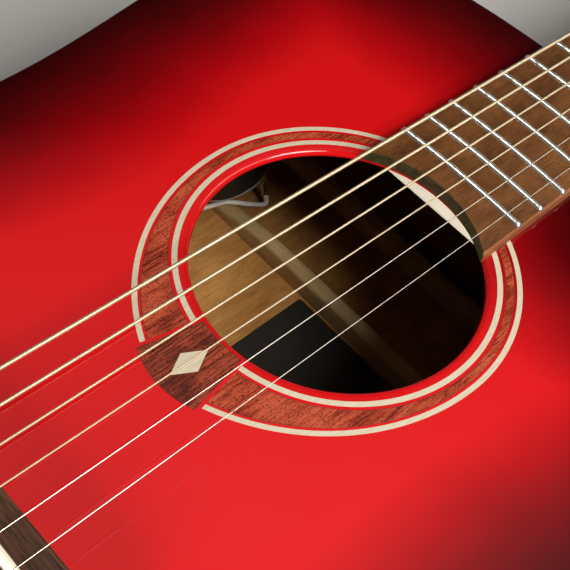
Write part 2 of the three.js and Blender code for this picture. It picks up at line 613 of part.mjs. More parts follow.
// ---- fretboard with its frets, and the nut ----------------------------------------------------------------
const boardTop = (x) => BOARD_T - (x * x) / (2 * BOARD_R);
const boardEnd = 38;
const FRET_SECTION = [[-1.2, -0.4], [-1.15, 0.3], [0, FRET_H], [1.15, 0.3], [1.2, -0.4]];
function boardRing(y) {
  const half = boardWidth(y) / 2;
  const n = 8;
  const ring = [at(-half, y, GAP)];
  for (let i = 0; i <= n; i++) {
    const x = lerp(-half, half, i / n);
    ring.push(at(x, y, boardTop(x)));
  }
  ring.push(at(half, y, GAP));
  return ring;
}
let fretboard = loft([boardRing(boardEnd), boardRing(NUT_Y - GAP)]).subtract(rod(HOLE_R + GAP, -20, 20, 48));
for (let n = 1; n <= FRETS; n++) {
  const y = SADDLE_Y + SCALE * 2 ** (-n / 12);
  const half = boardWidth(y) / 2 - 0.2;
  const ring = (x, end) =>
    FRET_SECTION.map(([dy, dz]) =>
      at(x, y + dy * (end ? 0.6 : 1), boardTop(x) + dz * (end && dz > 0 ? 0.3 : 1)),
    );
  const xs = [-half, -half + 1.2, 0, half - 1.2, half];
  fretboard = fretboard.add(loft(xs.map((x, i) => ring(x, i === 0 || i === xs.length - 1))));
}
add("fretboard", fretboard, ROSEWOOD);

const nutTop = (x) => stringZ(x, NUT_Y) + 0.5;
const nutShape = [[-NUT_W / 2, -1], [NUT_W / 2, -1]];
for (let i = 0; i <= 8; i++) {
  const x = lerp(NUT_W / 2 - 0.3, -NUT_W / 2 + 0.3, i / 8);
  nutShape.push([x, nutTop(x) - (Math.abs(x) > 20 ? 1.5 : 0)]);
}
let nut = solid(crossPrism(nutShape, NUT_Y, HEAD_Y - GAP));
STRING_D.forEach((d, k) => {
  const x = stringX(k, NUT_Y);
  const r = d / 2 + GAP;
  nut = nut.subtract(box(x - r, x + r, NUT_Y - 2, HEAD_Y + 2, stringZ(x, NUT_Y) - r, 40));
});
add("nut", nut, BONE);

// ---- tuners: two plates under the headstock, each with three open worm gears ---------------------------
const GEAR_R = (GEAR_TEETH * WORM_PITCH) / (2 * Math.PI);
const CENTRES = GEAR_R + WORM_R;
const WIND_W = [3.2, 7]; // where the string is wound on the post, above the headstock's face
const POST_TOP = 10.5;
const SHAFT_R = 1.5;
const PLATE = { w: -HEAD_T - GAP, t: 1.2, inner: 7.5, outer: 9.5 };
const LUG = { at: 5.1, t: 1.4, half: 3.6, deep: 3.4 };
const KEY_REACH = 18.5; // from the post's axis to the button
const BEARING_GAP = 0.08; // the key's shaft turns in its lugs with this clearance

/** Wheel of GEAR_TEETH teeth about +Z, its teeth leaning with the worm's thread. */
function wormWheel(z0, z1) {
  const lean = (((z1 - z0) / 2) * (WORM_PITCH / (2 * Math.PI * WORM_R))) / GEAR_R;
  const tooth = [[-0.62, -0.62], [-0.24, 0.34], [0.24, 0.34], [0.62, -0.62]];
  const ring = (z, turn) => {
    const points = [];
    for (let i = 0; i < GEAR_TEETH; i++)
      for (const [offset, dr] of tooth) {
        const a = -Math.PI / 2 + (2 * Math.PI * i + (offset / GEAR_R) * GEAR_TEETH) / GEAR_TEETH + turn;
        points.push(at((GEAR_R + dr) * Math.cos(a), (GEAR_R + dr) * Math.sin(a), z));
      }
    return points;
  };
  return loft([ring(z0, -lean), ring(z1, lean)]);
}

/** Screw thread of a few turns about +X, with a groove where it faces the wheel's lowest tooth. */
function wormThread(turns) {
  const per = 10;
  const rings = [];
  for (let i = Math.ceil(-turns * per); i <= turns * per; i++) {
    const a = (2 * Math.PI * i) / per;
    const x = WORM_PITCH * (i / per + 0.5);
    const corner = (dx, r) => at(x + dx, r * Math.cos(a), r * Math.sin(a));
    rings.push([corner(-0.5, 1.3), corner(-0.2, 2.4), corner(0.2, 2.4), corner(0.5, 1.3)]);
  }
  return loft(rings);
}

const turnToX = (sign) => new THREE.Matrix4().makeRotationY((sign * Math.PI) / 2);
for (const { k, bass, x, u } of posts) {
  const out = bass ? -1 : 1;
  const frame = headFrame.clone().multiply(shift(x, u, 0));
  const shaft = frame.clone().multiply(shift(0, -CENTRES, GEAR_W));
  const wind = POST_R + STRING_D[k] + 0.25;
  const post = [
    [0, GEAR_W - 3.4], [1.9, GEAR_W - 3.4], [1.9, GEAR_W - 1.8], [POST_R, GEAR_W - 1.8], [POST_R, WIND_W[0]],
    [wind, WIND_W[0] + 0.3], [wind, WIND_W[1] - 0.3], [POST_R - 0.3, WIND_W[1]], [POST_R, POST_TOP - 1],
    [POST_R - 0.8, POST_TOP], [0, POST_TOP],
  ];
  const wheel = wormWheel(-1.4, 1.4).transform(frame.clone().multiply(shift(0, 0, GEAR_W)).toArray());
  add(`tuner_${k + 1}_post`, turned(post, 12, frame).add(wheel), CHROME);

  const shaftEnd = -LUG.at - LUG.t - 0.4;
  const key = [
    [0, shaftEnd], [SHAFT_R, shaftEnd], [SHAFT_R, KEY_REACH],
    [2.7, KEY_REACH], [2.7, KEY_REACH + 2], [0, KEY_REACH + 2],
  ];
  const spindle = turned(key, 12, shaft.clone().multiply(turnToX(out)));
  const blade = new THREE.SphereGeometry(1, 12, 7);
  blade.scale(8.6, 10.2, 3.6);
  const button = solid(blade, shaft.clone().multiply(shift(out * (KEY_REACH + 9), 0, 0)));
  add(`tuner_${k + 1}_key`, spindle.add(wormThread(1.4).transform(shaft.toArray())).add(button), CHROME);
}

for (const side of [-1, 1]) {
  const xs = [side * (POST_X - PLATE.inner), side * (POST_X + PLATE.outer)].sort((a, b) => a - b);
  const us = [POST_U[0] - CENTRES - 10, POST_U[2] + 9];
  let plate = box(...xs, ...us, PLATE.w - PLATE.t, PLATE.w, headFrame);
  for (const { bass, x, u } of posts) {
    if (bass !== side < 0) continue;
    const frame = headFrame.clone().multiply(shift(x, u, 0));
    plate = plate.subtract(rod(POST_R + GAP, -40, 0, 16, frame));
    for (const sign of [-1, 1]) {
      const ends = [sign * LUG.at, sign * (LUG.at + LUG.t)].sort((a, b) => a - b);
      const lug = [-CENTRES - LUG.half, -CENTRES + LUG.half, GEAR_W - LUG.deep, PLATE.w - 0.2];
      plate = plate.add(box(...ends, ...lug, frame));
    }
    const bearing = frame.clone().multiply(shift(0, -CENTRES, GEAR_W)).multiply(turnToX(1));
    plate = plate.subtract(rod(SHAFT_R + BEARING_GAP, -9, 9, 12, bearing));
  }
  add(side < 0 ? "tuner_plate_bass" : "tuner_plate_treble", plate, CHROME);
}

// ---- strings -------------------------------------------------------------------------------------------
STRING_D.forEach((d, k) => {
  const { bass, x, u } = posts[k];
  const r = d / 2;
  const side = bass ? 1 : -1;
  const end = onHead(x + side * (POST_R + d + 0.25 + r + GAP), u, (WIND_W[0] + WIND_W[1]) / 2);
  const sx = stringX(k, SADDLE_Y);
  const nx = stringX(k, NUT_Y);
  const px = stringX(k, PIN_Y);
  const line = [
    at(px, PIN_Y + PIN_HOLE_R - r - 0.2, -6),
    at(px, PIN_Y + PIN_HOLE_R - r - 0.2, BRIDGE.top - 0.6),
    at(lerp(px, sx, 0.1), PIN_Y + PIN_HOLE_R + 1.2, BRIDGE.top + r + 0.35),
    at(sx, SADDLE_Y - 1.4, stringZ(sx, SADDLE_Y) + 0.05),
    at(sx, SADDLE_Y + 0.4, stringZ(sx, SADDLE_Y) + 0.05),
    at(nx, NUT_Y + 1, stringZ(nx, NUT_Y) + 0.05),
    at(nx, HEAD_Y - 1, stringZ(nx, NUT_Y) - 0.05),
    end,
  ];
  add(`string_${k + 1}`, tube(line, r, 8), k < 4 ? BRONZE : STEEL);
});

// ---- strap button and end-pin jack -----------------------------------------------------------------------
const strapProfile = [
  [0, -8], [1.4, -8], [1.4, 0.4], [6, 0.4], [6, 1.6], [4, 3],
  [3.6, 6], [6.4, 9], [6.6, 10.6], [5.6, 11.6], [0, 11.6],
];
const strapPlace = aim(at(-heelHalf(STRAP.z), STRAP.y, STRAP.z), at(-1, 0, 0));
add("strap_button", turned(strapProfile, 18, strapPlace), CHROME);
const JACK_R = 3.35;
const jackProfile = [
  [0, -34], [8.6, -34], [8.6, -23], [6.2, -23], [6.2, 0.4], [8.6, 0.4], [8.6, 2], [5.4, 4], [5.4, 8], [8, 11],
  [8, 12.6], [JACK_R, 12.6], [JACK_R, -30], [0, -30],
];
add("end_pin_jack", turned(jackProfile, 18, aim(at(0, TAIL_Y, JACK_Z), at(0, -1, 0))), CHROME);

// ---- preamp in the bass side -------------------------------------------------------------------------------
const { y0, y1, z0, z1, inner, innerZ0, face } = PREAMP;
const midY = (y0 + y1) / 2;
const DRAWER = { y0: midY - 15.5, y1: midY + 15.5, z0: -78, z1: -56, back: -102, face: face - 1.4 };
const KNOB_Z = -43.5;
const KNOBS = { volume_knob: y0 + 12, tone_knob: y0 + 29 };
const SWITCH_Y = y1 - 10;
const ROUND = (y1 - y0 - 8) / 2; // the inner end is a half round
const innerShape = new THREE.Shape();
innerShape.moveTo(-136, y0 + 2);
innerShape.absarc(inner - ROUND, y0 + 2 + ROUND, ROUND, -Math.PI / 2, 0, false);
innerShape.absarc(inner - ROUND, y1 - 2 - ROUND, ROUND, 0, Math.PI / 2, false);
innerShape.lineTo(-136, y1 - 2);
const innerEnd = slab(innerShape, innerZ0, z1, 8).intersect(bodyPrism(SIDE_T + GAP, BELOW, 50));
const flange = box(face, -130, y0, y1, z0, z1).subtract(bodyPrism(-GAP, BELOW, 50));
const lip = PREAMP_LIP + 0.4;
const through = box(face, -134, y0 + lip, y1 - lip, z0 + lip, z1 - lip);
const drawerRoom = box(
  face - 20, DRAWER.back,
  DRAWER.y0 - GAP, DRAWER.y1 + GAP,
  DRAWER.z0 - GAP, DRAWER.z1 + GAP,
);
const SWITCH_HALF = 3;
const switchBox = (x0, x1, half) => box(x0, x1, SWITCH_Y - half, SWITCH_Y + half, KNOB_Z - half, KNOB_Z + half);
let housing = flange.add(through).add(innerEnd).subtract(drawerRoom);
for (const y of Object.values(KNOBS))
  housing = housing.subtract(rod(2.3, -3, 14, 12, aim(at(face, y, KNOB_Z), X)));
housing = housing.subtract(switchBox(face - 20, face + 8, SWITCH_HALF + 0.4));
add("preamp_housing", housing, BLACK);
const knobProfile = [[0, -12], [2, -12], [2, 0.5], [4.6, 0.5], [4.6, 4.2], [4.1, 5], [0, 5]];
for (const [name, y] of Object.entries(KNOBS))
  add(name, turned(knobProfile, 16, aim(at(face, y, KNOB_Z), at(-1, 0, 0))), BLACK);
add("tuner_switch", switchBox(face - 2.2, face + 6, SWITCH_HALF), BLACK);
const drawerBody = box(DRAWER.face, DRAWER.back - 0.4, DRAWER.y0, DRAWER.y1, DRAWER.z0, DRAWER.z1);
const batteryRoom = box(
  DRAWER.face + 2.4, DRAWER.back - 1.8,
  DRAWER.y0 + 1.6, DRAWER.y1 - 1.6,
  DRAWER.z0 + 1.6, 0,
);
add("battery_drawer", drawerBody.subtract(batteryRoom), BLACK);

// The saddle pickup and its lead: out of the preamp, a sharp turn near the back, and along to the bridge.
const LEAD_R = 1.1;
const LEAD = [
  [-99, 66, innerZ0 - GAP - 0.4], [-97, 65.5, -92], [-93, 65, -97], [-90.5, 62.5, -99], [-93.5, 56, -97.5],
  [-99, 46, -94.5], [-104, 37, -97], [-108, 20, -92], [-110, -10, -78], [-104, -50, -56],
  [-88, -95, -34], [-64, -127, -24], [-44, -142, -20], [-35, SADDLE_Y + 0.6, -14],
  [LEAD_X, SADDLE_Y, -7], [LEAD_X, SADDLE_Y, SADDLE.low - 1],
];
const leadCurve = new THREE.CatmullRomCurve3(LEAD.map((p) => at(...p)), false, "catmullrom", 0.5);
add("pickup", tube(leadCurve.getPoints(54), LEAD_R, 6).add(pickupStrip), CABLE);

// ---- the back lies level, and the origin is the bottom centre of the guitar's box ---------------------
guitar.rotation.x = -BACK_TILT;
guitar.updateMatrixWorld(true);
const extent = new THREE.Box3().setFromObject(guitar, true);
guitar.position.set(-(extent.min.x + extent.max.x) / 2, -(extent.min.y + extent.max.y) / 2, -extent.min.z);
const part = new THREE.Group();
part.add(guitar);

export default part;
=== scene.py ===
"""Looks of the red steel-string guitar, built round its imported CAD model.

Every piece is modelled in the guitar's own frame, in millimetres: the origin is the centre of the sound
hole on the soundboard's top face, +Y runs along the strings to the nut, +X is the treble side and +Z
comes out of the soundboard. GUITAR is the matrix from that frame to the row frame in metres.
"""

import math

import bmesh
import bpy
import numpy as np
from mathutils import Matrix, Vector
from mathutils.geometry import delaunay_2d_cdt


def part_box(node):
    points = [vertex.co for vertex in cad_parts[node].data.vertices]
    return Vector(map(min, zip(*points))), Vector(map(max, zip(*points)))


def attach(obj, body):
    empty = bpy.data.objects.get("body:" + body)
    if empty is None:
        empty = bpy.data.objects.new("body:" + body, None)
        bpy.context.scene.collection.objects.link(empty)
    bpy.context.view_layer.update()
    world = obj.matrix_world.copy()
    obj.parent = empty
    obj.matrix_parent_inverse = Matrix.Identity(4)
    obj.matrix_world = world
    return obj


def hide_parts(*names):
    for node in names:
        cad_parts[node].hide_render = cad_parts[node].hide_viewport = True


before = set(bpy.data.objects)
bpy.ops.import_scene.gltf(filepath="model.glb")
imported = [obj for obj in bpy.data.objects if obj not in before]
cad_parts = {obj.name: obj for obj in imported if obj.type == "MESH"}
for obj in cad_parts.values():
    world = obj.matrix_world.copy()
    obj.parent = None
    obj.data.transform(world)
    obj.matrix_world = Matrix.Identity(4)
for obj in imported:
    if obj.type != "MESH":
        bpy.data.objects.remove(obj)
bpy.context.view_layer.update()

# ---- driving dimensions, in millimetres ----------------------------------------------------------
SCALE = 650.0
FRETS = 20
SADDLE_Y = -146.0
NUT_Y = SADDLE_Y + SCALE
HOLE_R = 50.0
BODY_END_Y = 144.0
TAIL_Y = -364.0
UPPER_HALF, WAIST_HALF, LOWER_HALF = 146.0, 134.0, 199.0
DEPTH_NECK, DEPTH_TAIL = 103.6, 124.0
TOP_T, BACK_T, SIDE_T = 2.8, 2.6, 2.2
BACK_ARCH_R = 4600.0
ARCH_FLAT = 16.0  # half-width of the back's flat middle
CUT_FLOOR_Y = 83.0
HEEL_HALF = 27.4
NUT_W, END_W, NUT_T = 43.0, 57.6, 5.5
BOARD_T, BOARD_R = 5.4, 400.0
BOARD_END_R = 48.7  # the fretboard's end is an arc about the hole's centre
STRING_NUT_Z, STRING_SADDLE_Z = 7.5, 12.3
NUT_SPREAD, SADDLE_SPREAD = 36.0, 53.5
STRING_D = [1.35, 1.07, 0.81, 0.61, 0.41, 0.31]  # low E first
HEAD_TILT = math.radians(14)
HEAD_Y, HEAD_Z, HEAD_T, HEAD_L = NUT_Y + NUT_T, 1.2, 14.5, 176.0
PLATE_T = 1.6
POST_U, POST_X, POST_R = [40.0, 78.0, 116.0], 21.5, 3.0
PIN_Y = SADDLE_Y - 14
INLAY_Y, INLAY_T = -64.5, 1.2

BACK_SLOPE = (DEPTH_TAIL - DEPTH_NECK) / (BODY_END_Y - TAIL_Y)
LEVEL = Matrix.Rotation(-math.atan(BACK_SLOPE), 4, "X")


def place_guitar():
    """The frame's matrix, found from the badge's inlay, whose box is centred on the inlay's own centre."""
    low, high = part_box("badge_inlay")
    inlay = Vector((0, INLAY_Y, -INLAY_T / 2)) / 1000
    shift = (low + high) / 2 - LEVEL @ inlay
    return Matrix.Translation(shift) @ LEVEL @ Matrix.Scale(0.001, 4)


GUITAR = place_guitar()
HEAD = Matrix.Translation((0, HEAD_Y, HEAD_Z)) @ Matrix.Rotation(-HEAD_TILT, 4, "X")


def lerp(a, b, t):
    return a + (b - a) * t


def back_z(x, y):
    """Height of the back's outer face."""
    arch = max(0.0, x * x - ARCH_FLAT**2) / (2 * BACK_ARCH_R)
    return -(DEPTH_NECK + BACK_SLOPE * (BODY_END_Y - y)) + arch


def board_half(y):
    """Half the fretboard's width."""
    return lerp(NUT_W, END_W, (NUT_Y - y) / (SCALE * (1 - 2 ** (-FRETS / 12)))) / 2


def board_top(x):
    return BOARD_T - x * x / (2 * BOARD_R)


def string_x(k, y):
    return (k - 2.5) / 5 * lerp(SADDLE_SPREAD, NUT_SPREAD, (y - SADDLE_Y) / SCALE)


def string_z(x, y):
    return lerp(STRING_SADDLE_Z, STRING_NUT_Z, (y - SADDLE_Y) / SCALE) - x * x / (2 * BOARD_R)


# ---- materials -----------------------------------------------------------------------------------
class Paint:
    """A Principled material and the few node tools that its patterns need.

    Patterns run in millimetres in the guitar's own frame, on new pieces and CAD nodes alike.
    """

    def __init__(self, name, rough=0.5, metal=0.0, coat=0.0, coat_rough=0.03, specular=0.5):
        self.material = bpy.data.materials.new(name)
        self.material.use_nodes = True
        self.tree = self.material.node_tree
        self.shader = self.tree.nodes["Principled BSDF"]
        self.shader.inputs["Roughness"].default_value = rough
        self.shader.inputs["Metallic"].default_value = metal
        self.shader.inputs["Coat Weight"].default_value = coat
        self.shader.inputs["Coat Roughness"].default_value = coat_rough
        self.shader.inputs["Specular IOR Level"].default_value = specular
        coords = self.tree.nodes.new("ShaderNodeTexCoord")
        back = GUITAR.inverted()
        self.where = self.node("ShaderNodeMapping", Vector=coords.outputs["Object"], Scale=back.to_scale(),
                               Location=back.translation, Rotation=back.to_euler()).outputs[0]

    def node(self, kind, settings=(), **inputs):
        """A new node; a key of inputs is a socket's name with _ for spaces, or _ and its number."""
        made = self.tree.nodes.new(kind)
        for key, value in dict(settings).items():
            setattr(made, key, value)
        for key, value in inputs.items():
            socket = made.inputs[int(key[1:])] if key[1:].isdigit() else made.inputs[key.replace("_", " ")]
            if isinstance(value, bpy.types.NodeSocket):
                self.tree.links.new(value, socket)
            else:
                socket.default_value = value
        return made

    def mapped(self, scale):
        return self.node("ShaderNodeMapping", Vector=self.where, Scale=scale).outputs[0]

    def noise(self, scale, detail=4.0, rough=0.55, distortion=0.0):
        """Noise whose cells are 1/scale millimetres along each axis."""
        made = self.node("ShaderNodeTexNoise", Vector=self.mapped(scale), Scale=1.0, Detail=detail,
                         Roughness=rough, Distortion=distortion)
        return made.outputs["Fac"]

    def bands_along_y(self, density):
        """Even bands across Y, tau / 20 / density millimetres apart."""
        made = self.node("ShaderNodeTexWave", {"bands_direction": "Y"}, Vector=self.mapped((1.0, density, 1.0)),
                         Scale=1.0, Distortion=0.0)
        return made.outputs["Fac"]

    def ramp(self, value, stops):
        """Colours along a value, as (place, (r, g, b)) pairs."""
        made = self.node("ShaderNodeValToRGB", Fac=value)
        elements = made.color_ramp.elements
        while len(elements) < len(stops):
            elements.new(0.5)
        for element, (place, color) in zip(elements, stops):
            element.position = place
            element.color = (*color, 1)
        return made.outputs["Color"]

    def curve(self, value, low, high, to_low=0.0, to_high=1.0):
        return self.node("ShaderNodeMapRange", Value=value, From_Min=low, From_Max=high, To_Min=to_low,
                         To_Max=to_high).outputs[0]

    def math(self, operation, a, b):
        return self.node("ShaderNodeMath", {"operation": operation}, _0=a, _1=b).outputs[0]

    def mix(self, fac, a, b):
        """One of two colours or a blend of them."""
        return self.node("ShaderNodeMix", {"data_type": "RGBA"}, _0=fac, _6=a, _7=b).outputs[2]

    def attribute(self, name):
        return self.node("ShaderNodeAttribute", {"attribute_name": name}).outputs["Fac"]

    def color(self, value):
        socket = self.shader.inputs["Base Color"]
        if isinstance(value, bpy.types.NodeSocket):
            self.tree.links.new(value, socket)
        else:
            socket.default_value = (*value, 1)
        return self

    def roughness(self, value):
        self.tree.links.new(value, self.shader.inputs["Roughness"])
        return self

    def bump(self, height, distance_mm, strength=1.0):
        made = self.node("ShaderNodeBump", Height=height, Distance=distance_mm / 1000, Strength=strength)
        self.tree.links.new(made.outputs[0], self.shader.inputs["Normal"])
        return self


def red_lacquer():
    """Opaque red under clear gloss; an edge attribute in millimetres darkens it towards the outline."""
    p = Paint("red_lacquer", rough=0.32, coat=1.0, coat_rough=0.035, specular=0.0)
    drift = p.math("MULTIPLY", p.math("SUBTRACT", p.noise((0.02, 0.02, 0.02), 2.0), 0.5), 14.0)
    edge = p.math("DIVIDE", p.math("ADD", p.attribute("edge"), drift), 70.0)
    burst = p.ramp(edge, [
        (0.0, (0.008, 0.0002, 0.0005)), (0.13, (0.026, 0.0003, 0.0008)), (0.27, (0.056, 0.0004, 0.0012)),
        (0.48, (0.15, 0.0006, 0.0018)), (0.70, (0.31, 0.0014, 0.0034)), (0.95, (0.50, 0.0046, 0.0060)),
    ])
    fine = p.noise((1.2, 0.05, 1.2), 3.0)
    p.color(p.mix(0.03, burst, p.ramp(fine, [(0.3, (0.3, 0.0, 0.0)), (0.7, (0.6, 0.004, 0.006))])))
    return p.bump(p.noise((0.09, 0.05, 0.09), 2.0), 0.05, 0.3).material


def wood(name, dark, light, grain=(0.9, 0.07, 0.9), rough=0.55, coat=0.0, pores=0.5, coat_rough=0.05,
         cloud=0.35, specular=0.3):
    """Straight-grained wood: cloudy figure, fibre lines and short dark pores, all drawn out along the grain.

    grain is the pattern's cells per millimetre along each axis. Its smallest value is the grain's direction.
    """
    p = Paint(name, rough=rough, coat=coat, coat_rough=coat_rough, specular=specular)
    figure = p.noise(tuple(0.03 + g * 0.05 for g in grain), 3.0, 0.6, 0.8)
    fibre = p.noise(tuple(g * 1.7 for g in grain), 5.0, 0.7, 0.35)
    both = p.math("ADD", p.math("MULTIPLY", figure, cloud), p.math("MULTIPLY", fibre, 1 - cloud))
    middle = tuple(lerp(d, l, 0.45) for d, l in zip(dark, light))
    base = p.ramp(both, [(0.38, dark), (0.5, middle), (0.62, light)])
    length = 2.6 if min(grain) < 0.05 else 1.5
    pore = p.noise(tuple(g * (length if g == min(grain) else 2.3) for g in grain), 1.0, 0.5)
    spots = p.curve(pore, 0.60, 0.65, 0.0, pores)
    p.color(p.mix(spots, base, (*(c * 0.3 for c in dark), 1)))
    p.roughness(p.curve(fibre, 0.3, 0.7, rough + 0.06, rough - 0.06))
    depth = 0.015 if coat else 0.06
    return p.bump(p.math("SUBTRACT", fibre, spots), depth, 0.6).material


def streaked_rosewood(name, dark, mid, light):
    """Glossy reddish rosewood with uneven dark streaks along the strings."""
    p = Paint(name, rough=0.4, coat=0.9, coat_rough=0.05, specular=0.05)
    bands = p.noise((0.7, 0.022, 0.5), 4.0, 0.7, 0.5)
    lines = p.noise((2.1, 0.13, 1.6), 3.0, 0.7, 0.4)
    patch = p.noise((0.09, 0.07, 0.1), 1.0, 0.4)
    streak = p.math("ADD", p.math("MULTIPLY", bands, 0.5), p.math("MULTIPLY", lines, 0.5))
    value = p.math("ADD", streak, p.curve(patch, 0.3, 0.7, -0.06, 0.06))
    base = p.ramp(value, [(0.40, dark), (0.48, mid), (0.58, light)])
    pore = p.curve(p.noise((3.0, 0.8, 2.4), 1.0, 0.5), 0.58, 0.62, 0.0, 0.75)
    p.color(p.mix(pore, base, (dark[0] * 0.3, dark[1] * 0.35, dark[2] * 0.35, 1)))
    return p.bump(lines, 0.015, 0.5).material


def end_grain():
    """Dark sawn end of the fretboard."""
    p = Paint("end_grain", rough=0.7, specular=0.15)
    rings = p.noise((0.55, 0.55, 1.1), 4.0, 0.7, 1.2)
    flecks = p.noise((3.0, 3.0, 3.4), 3.0, 0.7)
    value = p.math("ADD", p.math("MULTIPLY", rings, 0.6), p.math("MULTIPLY", flecks, 0.4))
    p.color(p.ramp(value, [(0.36, (0.012, 0.009, 0.003)), (0.52, (0.036, 0.027, 0.011)),
                           (0.68, (0.095, 0.074, 0.034))]))
    return p.bump(flecks, 0.08, 0.6).material


def cream_inlay(name="cream_inlay", coat=0.9):
    p = Paint(name, rough=0.4, coat=coat, coat_rough=0.06)
    fibre = p.noise((1.6, 0.12, 1.4), 3.0)
    p.color(p.ramp(fibre, [(0.3, (0.45, 0.395, 0.28)), (0.7, (0.55, 0.495, 0.365))]))
    return p.material


def metal(name, color, rough, streak=0.04, grain=0.006):
    p = Paint(name, rough=rough, metal=1.0)
    p.color(color)
    haze = p.noise((0.35, 0.35, 0.35), 4.0)
    p.roughness(p.curve(haze, 0.3, 0.7, rough - streak, rough + streak))
    return p.bump(p.noise((2.2, 2.2, 2.2), 2.0), grain, 0.4).material


def wound_wire(name, pitch):
    """Bronze wrap wire: fine turns round the string, which runs nearly along Y, with painted shade between the turns.
    """
    p = Paint(name, rough=0.50, metal=0.9)
    turns = p.bands_along_y(1 / pitch)
    haze = p.noise((0.2, 0.05, 0.2), 2.0)
    # Darker, browner colour between the turns: painted shade in the grooves.
    gap_shade = p.curve(turns, 0.0, 0.35, 0.6, 0.0)
    crowns = p.ramp(haze, [(0.3, (0.74, 0.63, 0.43)), (0.7, (0.82, 0.71, 0.51))])
    p.color(p.mix(gap_shade, crowns, (0.55, 0.38, 0.20, 1)))
    return p.bump(turns, 0.05, 0.35).material


def plastic(name, color, rough, grain=0.02):
    p = Paint(name, rough=rough)
    tone = p.noise((0.06, 0.06, 0.06), 2.0)
    darker, lighter = tuple(c * 0.85 for c in color), tuple(min(1, c * 1.15) for c in color)
    p.color(p.ramp(tone, [(0.3, darker), (0.7, lighter)]))
    return p.bump(p.noise((3.0, 3.0, 3.0), 3.0), grain, 0.5).material


def paper():
    p = Paint("label_paper", rough=0.72)
    fibre = p.noise((0.8, 0.8, 0.8), 5.0, 0.7)
    p.color(p.ramp(fibre, [(0.3, (0.012, 0.0105, 0.0075)), (0.7, (0.022, 0.019, 0.013))]))
    return p.bump(fibre, 0.03, 0.5).material


RED = red_lacquer()
SIDE_RED = wood("side_red", (0.030, 0.003, 0.002), (0.105, 0.010, 0.006), grain=(0.25, 0.25, 0.04), rough=0.35,
                coat=1.0, pores=0.2, coat_rough=0.04)
BACK_RED = wood("back_red", (0.035, 0.004, 0.003), (0.13, 0.013, 0.007), rough=0.35, coat=1.0, pores=0.25,
                coat_rough=0.04)
NECK_WOOD = wood("neck_wood", (0.085, 0.020, 0.009), (0.20, 0.055, 0.024), rough=0.5, coat=0.5, pores=0.4,
                 coat_rough=0.22)
INSIDE_WOOD = wood("inside_wood", (0.35, 0.150, 0.036), (0.59, 0.290, 0.083), grain=(0.55, 0.045, 0.55), rough=0.7,
                   pores=0.2, specular=0.2, cloud=0.62)
RIB_WOOD = wood("rib_wood", (0.10, 0.042, 0.016), (0.24, 0.11, 0.042), grain=(0.3, 0.3, 0.05), rough=0.75,
                pores=0.3, specular=0.2)
BLOCK_WOOD = wood("block_wood", (0.13, 0.055, 0.022), (0.24, 0.11, 0.045), grain=(0.5, 0.5, 0.03), rough=0.75,
                  pores=0.3, specular=0.2)
PALE_BRACE = wood("pale_brace", (0.74, 0.68, 0.54), (0.86, 0.81, 0.67), grain=(0.03, 0.7, 0.9), rough=0.75,
                  pores=0.04, specular=0.2)
ROSEWOOD = wood("rosewood", (0.066, 0.022, 0.005), (0.165, 0.064, 0.017), grain=(1.3, 0.16, 1.3), rough=0.5,
                pores=0.45, specular=0.2, cloud=0.45)
# The fretboard's sides and bevel: lighter copies of the rosewood, painted as if lit.
ROSEWOOD_LIT_SIDE = wood("rosewood_painted_lit_side", (0.14, 0.040, 0.010), (0.26, 0.085, 0.022), grain=(1.0, 0.08, 1.4), rough=0.5,
                     pores=0.4, specular=0.2)
ROSEWOOD_LIT_BEVEL = wood("rosewood_painted_lit_bevel", (0.14, 0.040, 0.010), (0.26, 0.085, 0.022), grain=(1.0, 0.08, 1.4),
                      rough=0.35, coat=0.7, coat_rough=0.12, pores=0.2)
BRIDGE_WOOD = wood("bridge_wood", (0.030, 0.014, 0.009), (0.105, 0.046, 0.024), grain=(0.05, 1.0, 1.0), rough=0.45,
                   pores=0.7)
HEAD_WOOD = wood("head_wood", (0.028, 0.012, 0.008), (0.105, 0.046, 0.024), grain=(1.0, 0.05, 1.0), rough=0.3,
                 coat=0.8, pores=0.6)
PLATE_WOOD = wood("plate_wood", (0.03, 0.014, 0.009), (0.10, 0.045, 0.024), rough=0.6, pores=0.4)
END_GRAIN = end_grain()
BAND_WOOD = streaked_rosewood("band_wood", (0.106, 0.008, 0.002), (0.30, 0.036, 0.012), (0.42, 0.078, 0.034))
BADGE_WOOD = streaked_rosewood("badge_wood", (0.045, 0.005, 0.002), (0.110, 0.014, 0.005), (0.29, 0.046, 0.018))
SEAM = plastic("glue_seam", (0.030, 0.006, 0.005), 0.6)
CREAM = cream_inlay()
PEARL = plastic("pearl_dot", (0.78, 0.76, 0.70), 0.25)
BONE = plastic("bone", (0.80, 0.75, 0.62), 0.3, 0.01)
NICKEL = metal("nickel", (0.76, 0.75, 0.72), 0.16)
FRET_WIRE = metal("fret_wire", (0.90, 0.92, 0.86), 0.30, 0.0, 0.0)
STEEL_WIRE = metal("steel_wire", (0.78, 0.72, 0.62), 0.34, 0.03, 0.0)
BLACK = plastic("black_plastic", (0.016, 0.016, 0.018), 0.42, 0.03)
JACKET = plastic("lead_jacket", (0.84, 0.83, 0.78), 0.4)
PAPER = paper()


# ---- mesh tools ----------------------------------------------------------------------------------
def new_object(name, data):
    made = bpy.data.objects.new(name, data)
    bpy.context.scene.collection.objects.link(made)
    return made


def piece(name, verts, faces, material, replaces=(), slot=None, body="guitar", smooth=35, extra=(),
          kinds=None):
    """A mesh drawn in the guitar's frame that rides on a body.

    kinds gives each face's place in (material, *extra).
    """
    mesh = bpy.data.meshes.new(name)
    mesh.from_pydata([GUITAR @ Vector(v) for v in verts], [], [list(f) for f in faces])
    if kinds is not None:
        mesh.polygons.foreach_set("material_index", kinds)
    bm = bmesh.new()
    bm.from_mesh(mesh)
    bmesh.ops.recalc_face_normals(bm, faces=bm.faces)
    bm.to_mesh(mesh)
    bm.free()
    made = new_object(name, mesh)
    for m in (material, *extra):
        mesh.materials.append(m)
    shade(made, smooth)
    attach(made, body)
    if replaces:
        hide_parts(*replaces)
    return made


